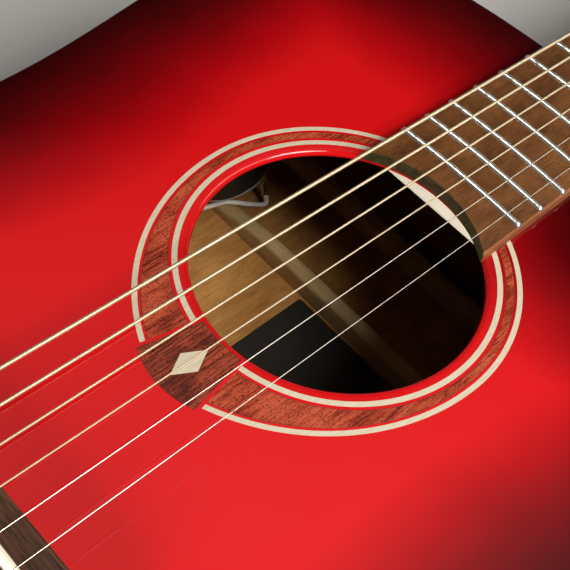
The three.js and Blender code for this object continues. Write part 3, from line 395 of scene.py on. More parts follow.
def shade(made, degrees):
    """Smooth shading with sharp edges above an angle."""
    mesh = made.data
    mesh.polygons.foreach_set("use_smooth", [True] * len(mesh.polygons))
    bm = bmesh.new()
    bm.from_mesh(mesh)
    limit = math.radians(degrees)
    for e in bm.edges:
        e.smooth = len(e.link_faces) == 2 and e.calc_face_angle(0) < limit
    bm.to_mesh(mesh)
    bm.free()


def soften(made, width_mm, segments=2):
    """A small rounding of every hard edge, as a modifier."""
    bevel = made.modifiers.new("soft_edges", "BEVEL")
    bevel.width = width_mm / 1000
    bevel.segments = segments
    bevel.limit_method = "ANGLE"
    bevel.angle_limit = math.radians(38)
    bevel.harden_normals = True


def dress(node, material, width_mm=0.35, smooth=32, segments=2):
    """A carried-over CAD node: its material, smooth shading by angle and softened edges."""
    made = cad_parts[node]
    made.data.materials.clear()
    made.data.materials.append(material)
    shade_only(made, smooth)
    if width_mm:
        soften(made, width_mm, segments)


def shade_only(made, degrees):
    """As shade, with the mesh's vertices left alone."""
    mesh = made.data
    mesh.shade_smooth()
    faces_of = {}
    for polygon in mesh.polygons:
        for key in polygon.edge_keys:
            faces_of.setdefault(key, []).append(polygon.normal.copy())
    sharp = []
    for edge in mesh.edges:
        normals = faces_of.get(edge.key, [])
        sharp.append(len(normals) != 2 or normals[0].angle(normals[1], 0) > math.radians(degrees))
    attribute = mesh.attributes.get("sharp_edge") or mesh.attributes.new("sharp_edge", "BOOLEAN", "EDGE")
    attribute.data.foreach_set("value", sharp)


def circle(radius, steps):
    return [(radius * math.cos(a), radius * math.sin(a)) for a in (math.tau * i / steps for i in range(steps))]


def loft(rings):
    """Verts and faces of equal rings joined in order, closed at both ends."""
    n = len(rings[0])
    verts = [tuple(p) for ring in rings for p in ring]
    faces = []
    for k in range(len(rings) - 1):
        for i in range(n):
            j = (i + 1) % n
            faces.append((k * n + i, k * n + j, (k + 1) * n + j, (k + 1) * n + i))
    faces.append(tuple(range(n)))
    faces.append(tuple((len(rings) - 1) * n + i for i in range(n)))
    return verts, faces


def tube(points, radius, sides):
    """A round bar along points."""
    side = Vector((1, 0, 0))
    rings = []
    last = len(points) - 1
    for k, p in enumerate(points):
        along = (Vector(points[min(k + 1, last)]) - Vector(points[max(k - 1, 0)])).normalized()
        side = (side - along * side.dot(along)).normalized()
        up = along.cross(side)
        rings.append([Vector(p) + side * c + up * s for c, s in circle(radius, sides)])
    return loft(rings)


def lathe(profile, segments, matrix=Matrix()):
    """A turned piece from (radius, height) pairs about +Z; a radius of 0 closes it on the axis."""
    verts, rows = [], []
    for r, h in profile:
        if r < 1e-6:
            rows.append([len(verts)])
            verts.append(matrix @ Vector((0, 0, h)))
        else:
            rows.append(list(range(len(verts), len(verts) + segments)))
            verts += [matrix @ Vector((x, y, h)) for x, y in circle(r, segments)]
    faces = []
    for a, b in zip(rows, rows[1:]):
        for i in range(segments):
            j = (i + 1) % segments
            quad = [a[i % len(a)], a[j % len(a)], b[j % len(b)], b[i % len(b)]]
            unique = list(dict.fromkeys(quad))
            if len(unique) > 2:
                faces.append(unique)
    return verts, faces


def rounded(profile, radius, steps=4):
    """A profile whose inner corners are rounded off."""
    made = [profile[0]]
    for before, corner, after in zip(profile, profile[1:], profile[2:]):
        b, c, a = (Vector(p) for p in (before, corner, after))
        r = min(radius, (b - c).length * 0.45, (a - c).length * 0.45)
        if r < 1e-4:
            made.append(corner)
            continue
        p, q = c + (b - c).normalized() * r, c + (a - c).normalized() * r
        for i in range(steps + 1):
            t = i / steps
            made.append(tuple((1 - t) ** 2 * p + 2 * t * (1 - t) * c + t * t * q))
    return made + [profile[-1]]


def join(*parts):
    """Several (verts, faces) as one."""
    verts, faces = [], []
    for v, f in parts:
        base = len(verts)
        verts += list(v)
        faces += [tuple(i + base for i in face) for face in f]
    return verts, faces


def moved(part, matrix):
    return [matrix @ Vector(v) for v in part[0]], part[1]


def aim(point, direction):
    """Matrix that turns +Z to a direction, at a point."""
    turn = Vector((0, 0, 1)).rotation_difference(Vector(direction))
    return Matrix.Translation(point) @ turn.to_matrix().to_4x4()


def bezier(p0, p1, p2, p3, steps):
    ts = np.linspace(0, 1, steps + 1)[:, None]
    p0, p1, p2, p3 = map(np.array, (p0, p1, p2, p3))
    return (1 - ts) ** 3 * p0 + 3 * (1 - ts) ** 2 * ts * p1 + 3 * (1 - ts) * ts**2 * p2 + ts**3 * p3


def path_of(start, curves, steps):
    """Points along joined Bezier curves, each given by its two handles and its end."""
    points = [start]
    for c1, c2, end in curves:
        points += [tuple(p) for p in bezier(points[-1], c1, c2, end, steps)[1:]]
    return points


def inset(points, distance):
    """A closed counter-clockwise or clockwise outline moved towards its inside."""
    p = np.array(points, float)
    area = np.sum(p[:, 0] * np.roll(p[:, 1], -1) - np.roll(p[:, 0], -1) * p[:, 1])
    a = p - np.roll(p, 1, 0)
    b = np.roll(p, -1, 0) - p
    a /= np.linalg.norm(a, axis=1)[:, None]
    b /= np.linalg.norm(b, axis=1)[:, None]
    na, nb = (np.stack([-v[:, 1], v[:, 0]], 1) * math.copysign(1, area) for v in (a, b))
    share = distance / np.maximum(0.35, 1 + (na * nb).sum(1))
    return p + (na + nb) * share[:, None]


def inside(points, loop):
    """Which points lie in a closed loop."""
    x, y = points[:, 0][:, None], points[:, 1][:, None]
    a, b = loop, np.roll(loop, -1, 0)
    crosses = (a[:, 1] > y) != (b[:, 1] > y)
    with np.errstate(divide="ignore", invalid="ignore"):
        at_x = a[:, 0] + (y - a[:, 1]) / (b[:, 1] - a[:, 1]) * (b[:, 0] - a[:, 0])
    return ((x < at_x) & crosses).sum(1) % 2 == 1


def distance_to(points, loop):
    """Shortest distance from each point to a closed loop."""
    a, b = loop, np.roll(loop, -1, 0)
    d = b - a
    rel = points[:, None] - a
    t = np.clip((rel * d).sum(2) / np.maximum((d * d).sum(1), 1e-9), 0, 1)
    return np.linalg.norm(rel - t[:, :, None] * d, axis=2).min(1)


PANEL_ROUND_STEPS = 5
ROW_PITCH = 0.87  # rows of even triangles, in cells
RIM_GAP = 0.5  # least distance of a grid point from a rim, in cells


def panel(outline, top_z, bottom_z, cell, edges=(1.0, 1.0), holes=(), hole_edges=(1.0, 1.0)):
    """A flat or curved panel with rounded edges and any number of holes.

    Gives verts, faces, each face's kind (0 on the rim, 1 on top, 2 below) and each vertex's distance inwards.
    top_z and bottom_z are functions of x and y. The top and bottom faces are even triangles of about one
    cell. edges are the roundings of the outline's top and bottom edge, and hole_edges those of the holes.
    """
    loops = [(np.array(outline, float), *edges)]
    loops += [(np.array(hole, float), *(-r for r in hole_edges)) for hole in holes]
    verts, faces, kinds, sheets = [], [], [], {"top": [], "bottom": []}
    steps = PANEL_ROUND_STEPS
    for loop, top_r, low_r in loops:
        rows = []
        for i in range(steps + 1):
            a = math.pi / 2 * i / steps
            ring = inset(loop, top_r * (1 - math.sin(a)))
            rows.append([(x, y, top_z(x, y) - abs(top_r) * (1 - math.cos(a))) for x, y in ring])
        for i in range(steps, -1, -1):
            a = math.pi / 2 * i / steps
            ring = inset(loop, low_r * (1 - math.sin(a)))
            rows.append([(x, y, bottom_z(x, y) + abs(low_r) * (1 - math.cos(a))) for x, y in ring])
        base, n = len(verts), len(loop)
        for row in rows:
            verts += row
        for k in range(len(rows) - 1):
            for i in range(n):
                j = (i + 1) % n
                a, b = base + k * n, base + (k + 1) * n
                faces.append((a + i, a + j, b + j, b + i))
                kinds.append(0)
        sheets["top"].append(list(range(base, base + n)))
        sheets["bottom"].append(list(range(base + (len(rows) - 1) * n, base + len(rows) * n)))
    for side, height in (("top", top_z), ("bottom", bottom_z)):
        rims = [np.array([verts[i][:2] for i in ids]) for ids in sheets[side]]
        lo, hi = rims[0].min(0), rims[0].max(0)
        gx, gy = np.meshgrid(np.arange(lo[0], hi[0], cell), np.arange(lo[1], hi[1], cell * ROW_PITCH))
        gx = gx + (np.arange(gx.shape[0]) % 2)[:, None] * cell / 2
        grid = np.stack([gx.ravel(), gy.ravel()], 1)
        keep = inside(grid, rims[0]) & (distance_to(grid, rims[0]) > cell * RIM_GAP)
        for rim in rims[1:]:
            keep &= ~inside(grid, rim) & (distance_to(grid, rim) > cell * RIM_GAP)
        grid = grid[keep]
        ids = [i for rim in sheets[side] for i in rim]
        ids += list(range(len(verts), len(verts) + len(grid)))
        verts += [(x, y, height(x, y)) for x, y in grid]
        flat = np.concatenate(rims + [grid])
        rim_edges, base = [], 0
        for rim in rims:
            rim_edges += [(base + i, base + (i + 1) % len(rim)) for i in range(len(rim))]
            base += len(rim)
        points, _, cells, from_points, *_ = delaunay_2d_cdt([Vector(p) for p in flat], rim_edges, [], 0, 1e-7)
        tris = np.array([f for f in cells if len(f) == 3])
        origin = [o[0] if o else None for o in from_points]
        centre = np.array([(points[a] + points[b] + points[c]) / 3 for a, b, c in tris])
        ok = inside(centre, rims[0])
        for rim in rims[1:]:
            ok &= ~inside(centre, rim)
        for tri in tris[ok]:
            faces.append(tuple(ids[origin[i]] for i in tri))
            kinds.append(1 if side == "top" else 2)
    away = distance_to(np.array([v[:2] for v in verts]), np.array(outline, float))
    return verts, faces, kinds, away


def tag(made, name, values):
    """A number kept on each vertex, which a material can read."""
    made.data.attributes.new(name, "FLOAT", "POINT").data.foreach_set("value", np.asarray(values, np.float32))


# ---- camera, light and floor ---------------------------------------------------------------------
SENSOR = 36  # mm, square
CAMERA_AT = Vector((141.6, -206.5, 306.9))
CAMERA_LOOK = Vector((-0.3763, 0.4796, -0.7927))
CAMERA_RIGHT = Vector((0.6678, 0.7334, 0.1267))
LENS = 75.29  # mm


def add_camera():
    data = bpy.data.cameras.new("photo_camera")
    data.sensor_width = SENSOR
    data.lens = LENS
    data.clip_start = 0.01
    camera = new_object("photo_camera", data)
    look = CAMERA_LOOK.normalized()
    right = (CAMERA_RIGHT - look * CAMERA_RIGHT.dot(look)).normalized()
    turn = Matrix((right, right.cross(look), -look)).transposed()
    camera.matrix_world = Matrix.Translation(GUITAR @ CAMERA_AT) @ (LEVEL.to_3x3() @ turn).to_4x4()
    bpy.context.scene.camera = camera


def add_softbox(name, where, towards, width, height, energy, color=(1, 1, 1), mirrored=True):
    """An area light, which polished surfaces reflect unless it is only a fill."""
    data = bpy.data.lights.new(name, "AREA")
    data.shape = "RECTANGLE"
    data.size = width / 1000
    data.size_y = height / 1000
    data.energy = energy
    data.color = color
    light = new_object(name, data)
    light.visible_glossy = mirrored
    start = GUITAR @ Vector(where)
    turn = (start - GUITAR @ Vector(towards)).to_track_quat("Z", "Y")
    light.matrix_world = Matrix.Translation(start) @ turn.to_matrix().to_4x4()
    return light


def light_only(light, lit):
    """Keep a light to one piece, so that nothing else mirrors it."""
    group = bpy.data.collections.new(light.name + "_lit")
    group.objects.link(lit)
    light.light_linking.receiver_collection = group


FLOOR_HALF, FLOOR_DROP = 16, -0.0005  # metres


def add_floor():
    mesh = bpy.data.meshes.new("studio_floor")
    bm = bmesh.new()
    bmesh.ops.create_grid(bm, x_segments=2, y_segments=2, size=FLOOR_HALF)
    bm.to_mesh(mesh)
    bm.free()
    floor = new_object("studio_floor", mesh)
    floor.location.z = FLOOR_DROP
    p = Paint("studio_floor", rough=0.8, specular=0.2)
    p.color(p.ramp(p.noise((0.004, 0.004, 0.004)), [(0.3, (0.60, 0.59, 0.575)), (0.7, (0.63, 0.62, 0.605))]))
    mesh.materials.append(p.material)


WALL_LIGHT, WALL_FADE = 0.24, 0.22  # pale near the horizon, nearly dark above it
OVERHEAD_GAIN = 0.405
PANEL_TOWARDS = (-0.376, 0.480, 0.793)  # direction of the soft panel, in the guitar's frame


def add_world():
    """A studio with pale walls and one broad soft panel high up behind the neck, brightest overhead."""
    world = bpy.data.worlds.new("studio")
    world.use_nodes = True
    tree = world.node_tree
    coords = tree.nodes.new("ShaderNodeTexCoord").outputs["Generated"]

    def spread(direction, low, high, strength):
        """Strength that rises as the sky's direction comes nearer to another."""
        near = tree.nodes.new("ShaderNodeVectorMath")
        near.operation = "DOT_PRODUCT"
        near.inputs[1].default_value = direction
        ramp = tree.nodes.new("ShaderNodeMapRange")
        ramp.inputs["From Min"].default_value = low
        ramp.inputs["From Max"].default_value = high
        ramp.inputs["To Max"].default_value = strength
        tree.links.new(coords, near.inputs[0])
        tree.links.new(near.outputs["Value"], ramp.inputs["Value"])
        return ramp.outputs[0]

    panel_at = LEVEL.to_3x3() @ Vector(PANEL_TOWARDS)
    product = tree.nodes.new("ShaderNodeMath")
    product.operation = "MULTIPLY_ADD"
    tree.links.new(spread(panel_at, 0.80, 0.92, 1.0), product.inputs[0])
    tree.links.new(spread((0, 0, 1), 0.70, 0.88, OVERHEAD_GAIN), product.inputs[1])
    walls = tree.nodes.new("ShaderNodeMath")
    walls.operation = "SUBTRACT"
    walls.inputs[0].default_value = WALL_LIGHT
    tree.links.new(spread((0, 0, 1), 0.16, 0.5, WALL_FADE), walls.inputs[1])
    tree.links.new(walls.outputs[0], product.inputs[2])
    tree.links.new(product.outputs[0], tree.nodes["Background"].inputs["Strength"])
    tree.nodes["Background"].inputs["Color"].default_value = (1.0, 0.97, 0.94, 1)
    bpy.context.scene.world = world


add_camera()
add_floor()
add_world()
add_softbox("key_softbox", (525, 35, 650), (0, 0, -20), 360, 360, 8.7, (1.0, 0.955, 0.90))
add_softbox("string_strip", (330, 420, 560), (0, 60, 0), 600, 260, 2.0, (1.0, 0.96, 0.90))
fret_strip = add_softbox("fret_strip", (-330, 30, 820), (10, 110, 0), 150, 420, 2.2, (1.0, 0.98, 0.95))
edge_strip = add_softbox("edge_strip", (610, 570, 215), (30, 60, 4), 240, 110, 1.4, (1.0, 0.97, 0.95))
add_softbox("front_fill", (190, -820, 190), (0, 50, -6), 300, 160, 9.2, (1.0, 0.96, 0.92), mirrored=False)
bpy.context.scene.view_settings.view_transform = "Standard"


# ---- body outline --------------------------------------------------------------------------------
BODY_CURVES = [
    ((-92, BODY_END_Y), (-UPPER_HALF, 128), (-UPPER_HALF, 78)),
    ((-UPPER_HALF, 34), (-WAIST_HALF, -2), (-WAIST_HALF, -45)),
    ((-WAIST_HALF, -108), (-LOWER_HALF, -152), (-LOWER_HALF, -226)),
    ((-LOWER_HALF, -318), (-112, TAIL_Y), (0, TAIL_Y)),
    ((112, TAIL_Y), (LOWER_HALF, -318), (LOWER_HALF, -226)),
    ((LOWER_HALF, -152), (WAIST_HALF, -108), (WAIST_HALF, -45)),
    ((WAIST_HALF, -2), (144, 12), (144, 52)),
    ((144, 90), (134, 111), (116, 111)),
    ((96, 111), (90, CUT_FLOOR_Y), (66, CUT_FLOOR_Y)),
    ((44, CUT_FLOOR_Y), (31, 97), (31, 121)),
]
OUTLINE_STEPS = 26
OUTLINE = path_of((0, BODY_END_Y), BODY_CURVES, OUTLINE_STEPS)
OUTLINE += [(HEEL_HALF, BODY_END_Y), (HEEL_HALF / 2, BODY_END_Y)]
TAIL_INDEX = 4 * OUTLINE_STEPS


def add_soundboard():
    verts, faces, kinds, away = panel(OUTLINE, lambda x, y: 0.0, lambda x, y: -TOP_T, 5.0, (1.3, 0.3),
                                      [circle(HOLE_R, 180)], (1.7, 0.9))
    made = piece("top_panel", verts, faces, RED, ["soundboard"], "lacquered_top", extra=[RIB_WOOD],
                 kinds=[k // 2 for k in kinds], smooth=50)
    tag(made, "edge", away)


def add_back():
    verts, faces, kinds, _ = panel(OUTLINE, lambda x, y: back_z(x, y) + BACK_T, back_z, 9.0, (0.2, 1.6))
    piece("back_panel", verts, faces, BACK_RED, ["back_plate"], "body_wood", extra=[INSIDE_WOOD],
          kinds=[k % 2 for k in kinds], smooth=50)


PREAMP = {"y0": 26, "y1": 80, "z0": -82, "z1": -32, "inner": -94, "face": -149.5}
RIB_TUCK = 0.05  # how far a side's edge reaches into the top and the back
WINDOW_INSET = 4
WINDOW_LOW_INSET = 3.6  # leaves the battery drawer's floor clear of the window's edge


def add_rib(name, node, points, inner, window=None):
    """One bent side: a wall between the top and the back, with a window for the preamp."""
    share = [0, 0.04, 0.2, 0.36, 0.5, 0.64, 0.8, 0.96, 1]
    columns = len(points)

    def height(x, y, k):
        top, low = -TOP_T + RIB_TUCK, back_z(x, y) + BACK_T - RIB_TUCK
        if window and abs(y - (window[0] + window[1]) / 2) < 40 and k in (3, 6):
            return window[3 if k == 3 else 2]
        return lerp(top, low, share[k])

    verts = []
    for row in (points, inner):
        for x, y in row:
            verts += [(x, y, height(x, y, k)) for k in range(len(share))]
    n = len(share)

    def open_cell(i, k):
        if not window or not (0 <= i < columns - 1 and 0 <= k < n - 1):
            return False
        y = (points[i][1] + points[i + 1][1]) / 2
        return points[i][0] < 0 and window[0] < y < window[1] and 3 <= k < 6

    faces, kinds = [], []
    shell = columns * n
    for i in range(columns - 1):
        for k in range(n - 1):
            a, b, c, d = i * n + k, (i + 1) * n + k, (i + 1) * n + k + 1, i * n + k + 1
            if open_cell(i, k):
                around = [((i - 1, k), a, d), ((i + 1, k), b, c), ((i, k - 1), a, b), ((i, k + 1), d, c)]
                for cell, p, q in around:
                    if not open_cell(*cell):
                        faces.append((p, q, shell + q, shell + p))
                        kinds.append(1)
                continue
            faces += [(a, b, c, d), (shell + a, shell + b, shell + c, shell + d)]
            kinds += [0, 1]
    for i in range(columns - 1):
        for k in (0, n - 1):
            a, b = i * n + k, (i + 1) * n + k
            faces.append((a, b, shell + b, shell + a))
            kinds.append(1)
    for i in (0, columns - 1):
        for k in range(n - 1):
            a, b = i * n + k, i * n + k + 1
            faces.append((a, b, shell + b, shell + a))
            kinds.append(1)
    piece(name, verts, faces, SIDE_RED, [node], "body_wood", extra=[RIB_WOOD], kinds=kinds, smooth=40)


def add_ribs():
    inner = [tuple(p) for p in inset(OUTLINE, SIDE_T)]
    bass = slice(0, TAIL_INDEX + 1)
    window = (PREAMP["y0"] + WINDOW_INSET, PREAMP["y1"] - WINDOW_INSET, PREAMP["z0"] + WINDOW_LOW_INSET,
              PREAMP["z1"] - WINDOW_INSET)
    add_rib("bass_rib", "side_bass", OUTLINE[bass], inner[bass], window)
    add_rib("treble_rib", "side_treble", OUTLINE[TAIL_INDEX:] + OUTLINE[:1], inner[TAIL_INDEX:] + inner[:1])


add_soundboard()
add_back()
add_ribs()


# ---- rosette -------------------------------------------------------------------------------------
TEAR = 16.1  # how far the lower arcs' centres stand across the centreline
BADGE = {"top_half": 9.2, "bottom_half": 14.0, "top_r": 52.0, "corner_y": -74.0, "sag": 3.0}
RING_GAP = 1.3  # rings stop this far from the badge
SEAM_W = 0.16  # dark glue line round the wooden inlays
PROUD = 0.03


def tear_radius(radius, tear, angle):
    """Distance from the hole's centre to a teardrop edge: a circle above, two wider arcs below."""
    c = abs(math.cos(angle))
    if math.sin(angle) >= 0 or not tear:
        return radius
    return -tear * c + math.sqrt(tear * tear * c * c + (radius + tear) ** 2 - tear * tear)


def badge_side(y):
    """Half the badge's width at a height."""
    top_y = -math.sqrt(BADGE["top_r"] ** 2 - BADGE["top_half"] ** 2)
    return lerp(BADGE["top_half"], BADGE["bottom_half"], (top_y - y) / (top_y - BADGE["corner_y"]))


def end_angle(radius, tear):
    """Angle at which an edge of a ring meets the badge's clearance, below the hole on the treble side."""
    low, high = -math.pi / 2, -math.pi / 4
    for _ in range(40):
        a = (low + high) / 2
        r = tear_radius(radius, tear, a)
        if r * math.cos(a) < badge_side(r * math.sin(a)) + RING_GAP:
            low = a
        else:
            high = a
    return high


def add_ring(name, node, inner, outer, tear_in, tear_out, material, slot):
    steps = 260
    a_in, a_out = end_angle(inner, tear_in), end_angle(outer, tear_out)
    rings = []
    for i in range(steps + 1):
        t = i / steps
        section = []
        for a0, r0, tear in ((a_in, inner, tear_in), (a_out, outer, tear_out)):
            a = lerp(a0, math.pi - a0, t)
            r = tear_radius(r0, tear, a)
            section.append((r * math.cos(a), r * math.sin(a)))
        inner_edge, outer_edge = (Vector(p) for p in section)
        step = (outer_edge - inner_edge).normalized() * SEAM_W
        tops = [inner_edge, inner_edge + step, outer_edge - step, outer_edge]
        rings.append([(*inner_edge, -INLAY_T)] + [(*p, PROUD) for p in tops] + [(*outer_edge, -INLAY_T)])
    verts, faces = loft(rings)
    kinds = [int(i % 6 in (1, 3)) for i in range(len(faces) - 2)] + [1, 1]
    seam = SEAM if material is BAND_WOOD else material
    piece(name, verts, faces, material, [node], slot, smooth=25, extra=[seam], kinds=kinds)


def prism(points, z0, z1):
    """Flat-sided solid over an outline, its faces as fans round the outline's middle."""
    n = len(points)
    cx, cy = sum(p[0] for p in points) / n, sum(p[1] for p in points) / n
    verts = [(*p, z0) for p in points] + [(*p, z1) for p in points] + [(cx, cy, z0), (cx, cy, z1)]
    faces = []
    for i in range(n):
        j = (i + 1) % n
        faces += [(i, j, n + j, n + i), (j, i, 2 * n), (n + i, n + j, 2 * n + 1)]
    return verts, faces


def badge_outline():
    r = BADGE["top_r"]
    half = math.asin(BADGE["top_half"] / r)
    arc = [(r * math.sin(half * t), -r * math.cos(half * t)) for t in np.linspace(1, -1, 13)]
    low = []
    for t in np.linspace(0, 1, 17):
        x = lerp(-BADGE["bottom_half"], BADGE["bottom_half"], t)
        low.append((x, BADGE["corner_y"] - 4 * BADGE["sag"] * t * (1 - t)))
    return arc + low


def add_rosette():
    add_ring("inner_purfling", "rosette_inner_line", 53.6, 55.5, 0, 0, CREAM, "pale_inlay")
    add_ring("rosewood_band", "rosette_band", 56.6, 59.5, 0, TEAR, BAND_WOOD, "rosette_wood")
    add_ring("outer_purfling", "rosette_outer_line", 60.4, 62.2, TEAR, TEAR, CREAM, "pale_inlay")
    edge = badge_outline()
    field = [tuple(p) for p in inset(edge, SEAM_W)]
    piece("badge_plate", *prism(field, -INLAY_T, PROUD + 0.004), BADGE_WOOD, ["rosette_badge"], "rosette_wood")
    piece("badge_seam", *prism(edge, -INLAY_T, PROUD), SEAM, [], "rosette_wood")
    diamond = [(4.2, INLAY_Y), (0, INLAY_Y + 7.6), (-4.2, INLAY_Y), (0, INLAY_Y - 7.6)]
    piece("badge_diamond", *prism(diamond, -INLAY_T, PROUD + 0.015), PEARL_INLAY, ["badge_inlay"], "pale_inlay")


PEARL_INLAY = cream_inlay("badge_diamond", 0.8)
add_rosette()


# ---- fretboard, frets and nut --------------------------------------------------------------------
EDGE_BEVEL = 0.9
FRET_HALF, FRET_H, FRET_LOW = 1.3, 1.1, -0.35


def board_rows(y_of, half, drop=0.0):
    """Top and bottom points across the fretboard; y_of gives the length position at each width."""
    inner = half - EDGE_BEVEL * 0.75
    xs = [-half, -half, *np.linspace(-inner, inner, 25), half, half]
    low_edge = board_top(half) - EDGE_BEVEL
    heights = [0.02, low_edge] + [board_top(x) - drop for x in xs[2:-2]] + [low_edge, 0.02]
    top = [(x, y_of(x), z) for x, z in zip(xs, heights)]
    return top, [(x, y_of(x), 0.02) for x in xs[1:-1]]


def add_fretboard():
    """The fretboard's sound-hole end is an arc that stands over the hole's edge, with its top edge eased."""
    def arc(x):
        return math.sqrt(BOARD_END_R**2 - x * x)

    def along(y, half):
        return board_rows(lambda x: max(arc(x) + 0.4 + (y - 40) * 0.02, y), half)

    first = board_half(41)
    rows = [board_rows(arc, first, 0.35), board_rows(lambda x: arc(x) + 0.35, first)]
    rows += [along(y, board_half(y)) for y in np.r_[np.linspace(42, 52, 9), np.linspace(60, NUT_Y, 60)]]
    verts, faces, kinds = [], [], []
    n, m = len(rows[0][0]), len(rows[0][1])
    for top, low in rows:
        verts += top + low
    size = n + m  # face kinds: 0 playing face, 1 side, 2 end and underside, 3 bevel
    for k in range(len(rows) - 1):
        a, b = k * size, (k + 1) * size
        for i in range(n - 1):
            faces.append((a + i, a + i + 1, b + i + 1, b + i))
            across = min(i, n - 2 - i)
            kinds.append(2 if k == 0 else (1, 3, 0)[min(across, 2)])
        for i in range(m - 1):
            faces.append((a + n + i, a + n + i + 1, b + n + i + 1, b + n + i))
            kinds.append(2)
        for top_i, low_i in ((0, n), (n - 1, size - 1)):
            faces.append((a + top_i, b + top_i, b + low_i, a + low_i))
            kinds.append(2)
    for base in (0, (len(rows) - 1) * size):
        for i in range(m - 1):
            faces.append((base + i + 1, base + i + 2, base + n + i + 1, base + n + i))
            kinds.append(2)
    keys = [tuple(round(c, 5) for c in v) for v in verts]
    weld = dict.fromkeys(keys)
    index = {p: i for i, p in enumerate(weld)}
    at = [index[key] for key in keys]
    made = [(tuple(dict.fromkeys(at[i] for i in f)), k) for f, k in zip(faces, kinds)]
    made = [(f, k) for f, k in made if len(f) > 2]
    # Sides (kind 1) and bevel (kind 3) take the lighter rosewood copies, painted as if lit.
    board = piece("fingerboard", list(weld), [f for f, _ in made], ROSEWOOD, ["fretboard"], "dark_wood",
                  extra=[ROSEWOOD_LIT_SIDE, END_GRAIN, ROSEWOOD_LIT_BEVEL], kinds=[k for _, k in made], smooth=30)
    light_only(edge_strip, board)


def add_frets():
    """Nickel wire with a domed crown; each fret ends in a small rounded bevel."""
    parts = []
    profile = [(-FRET_HALF, FRET_LOW)]
    profile += [(-FRET_HALF * math.cos(a), FRET_H * math.sin(a)) for a in np.linspace(0.1, math.pi - 0.1, 13)]
    profile += [(FRET_HALF, FRET_LOW)]
    for n in range(1, FRETS + 1):
        y = SADDLE_Y + SCALE * 2 ** (-n / 12)
        half = board_half(y) - 0.15
        rings = []
        for x in [-half, -half + 0.15, -half + 0.45, -half + 1.0, *np.linspace(-half + 1.8, half - 1.8, 15),
                  half - 1.0, half - 0.45, half - 0.15, half]:
            e = min(1.0, (half - abs(x)) / 1.5)
            crown = math.sqrt(1 - (1 - e) ** 2) if e < 1 else 1.0
            wide, tall = lerp(0.5, 1, crown), lerp(0.08, 1, crown)
            rings.append([(x, y + dy * wide, board_top(x) + (dz * tall if dz > 0 else dz)) for dy, dz in profile])
        parts.append(loft(rings))
    light_only(fret_strip, piece("fret_wires", *join(*parts), FRET_WIRE, [], "nickel", smooth=50))


def add_nut():
    rings = []
    for x in np.linspace(-NUT_W / 2 + 0.1, NUT_W / 2 - 0.1, 173):
        k = min(range(6), key=lambda i: abs(string_x(i, NUT_Y) - x))
        off = abs(string_x(k, NUT_Y) - x)
        r = STRING_D[k] / 2 + 0.06
        top = string_z(x, NUT_Y) + 0.5 - 1.2 * max(0, (abs(x) - 19.6) / 1.9) ** 2
        if off < r:
            top = string_z(x, NUT_Y) - math.sqrt(r * r - off * off)
        rings.append([(x, y, z) for y, z in (
            (NUT_Y + 0.02, -1), (NUT_Y + 0.02, top - 0.35), (NUT_Y + 0.35, top), (HEAD_Y - 2.2, top - 0.25),
            (HEAD_Y - 0.6, top - 0.9), (HEAD_Y - 0.3, top - 1.6), (HEAD_Y - 0.3, -1))])
    piece("slotted_nut", *loft(rings), BONE, ["nut"], "bone", smooth=30)


add_fretboard()
add_frets()
add_nut()


# ---- bridge, saddle and pins ---------------------------------------------------------------------
BRIDGE = {"half": 80, "y0": -173, "y1": -134, "top": 8.4, "wing": 3.6, "body_half": 41}
SADDLE = {"half": 37, "t": 3.2, "low": 3.4}


def bridge_outline():
    h, y0, y1 = BRIDGE["half"], BRIDGE["y0"], BRIDGE["y1"]
    half = path_of((h, y0 + 6), [((h, y0 + 4), (h - 2, y0 + 3), (h - 6, y0 + 3)),
                                 ((48, y0 + 3), (40, y0 - 4), (0, y0 - 4))], 14)
    low = half + [(-x, y) for x, y in reversed(half[:-1])]
    corner = path_of((-h, y0 + 6), [((-h, y0 + 30), (-h + 2, y1), (-h + 8, y1))], 14)[1:]
    top = [(x, y1) for x in np.linspace(-h + 14, h - 14, 25)]
    return low + corner + top + [(-x, y) for x, y in reversed(corner)]


def bridge_top(x, _y):
    """Flat wings, then an S-shaped rise to the middle."""
    t = min(1.0, max(0.0, (62 - abs(x)) / (62 - BRIDGE["body_half"])))
    rise = t * t * (3 - 2 * t)
    return lerp(BRIDGE["wing"], BRIDGE["top"], rise)


def add_bridge():
    verts, faces, *_ = panel(bridge_outline(), bridge_top, lambda x, y: 0.02, 2.6, (1.0, 0.05))
    piece("bridge_base", verts, faces, BRIDGE_WOOD, ["bridge"], "dark_wood", smooth=38)


def add_saddle():
    rings = []
    t = SADDLE["t"] / 2
    for x in np.linspace(-SADDLE["half"], SADDLE["half"], 75):
        d = lerp(0.67, 0.16, x / SADDLE_SPREAD + 0.5)
        end = max(0.0, (abs(x) - SADDLE["half"] + 1.6) / 1.6)
        top = string_z(x, SADDLE_Y) - d - 0.05 - 1.5 * end * end
        arc = [(x, SADDLE_Y + t * math.cos(a), top - 1.1 * (1 - math.sin(a))) for a in np.linspace(0, math.pi, 11)]
        rings.append([(x, SADDLE_Y + t, SADDLE["low"]), *arc, (x, SADDLE_Y - t, SADDLE["low"])])
    piece("saddle_blade", *loft(rings), BONE, ["saddle"], "bone", smooth=40)


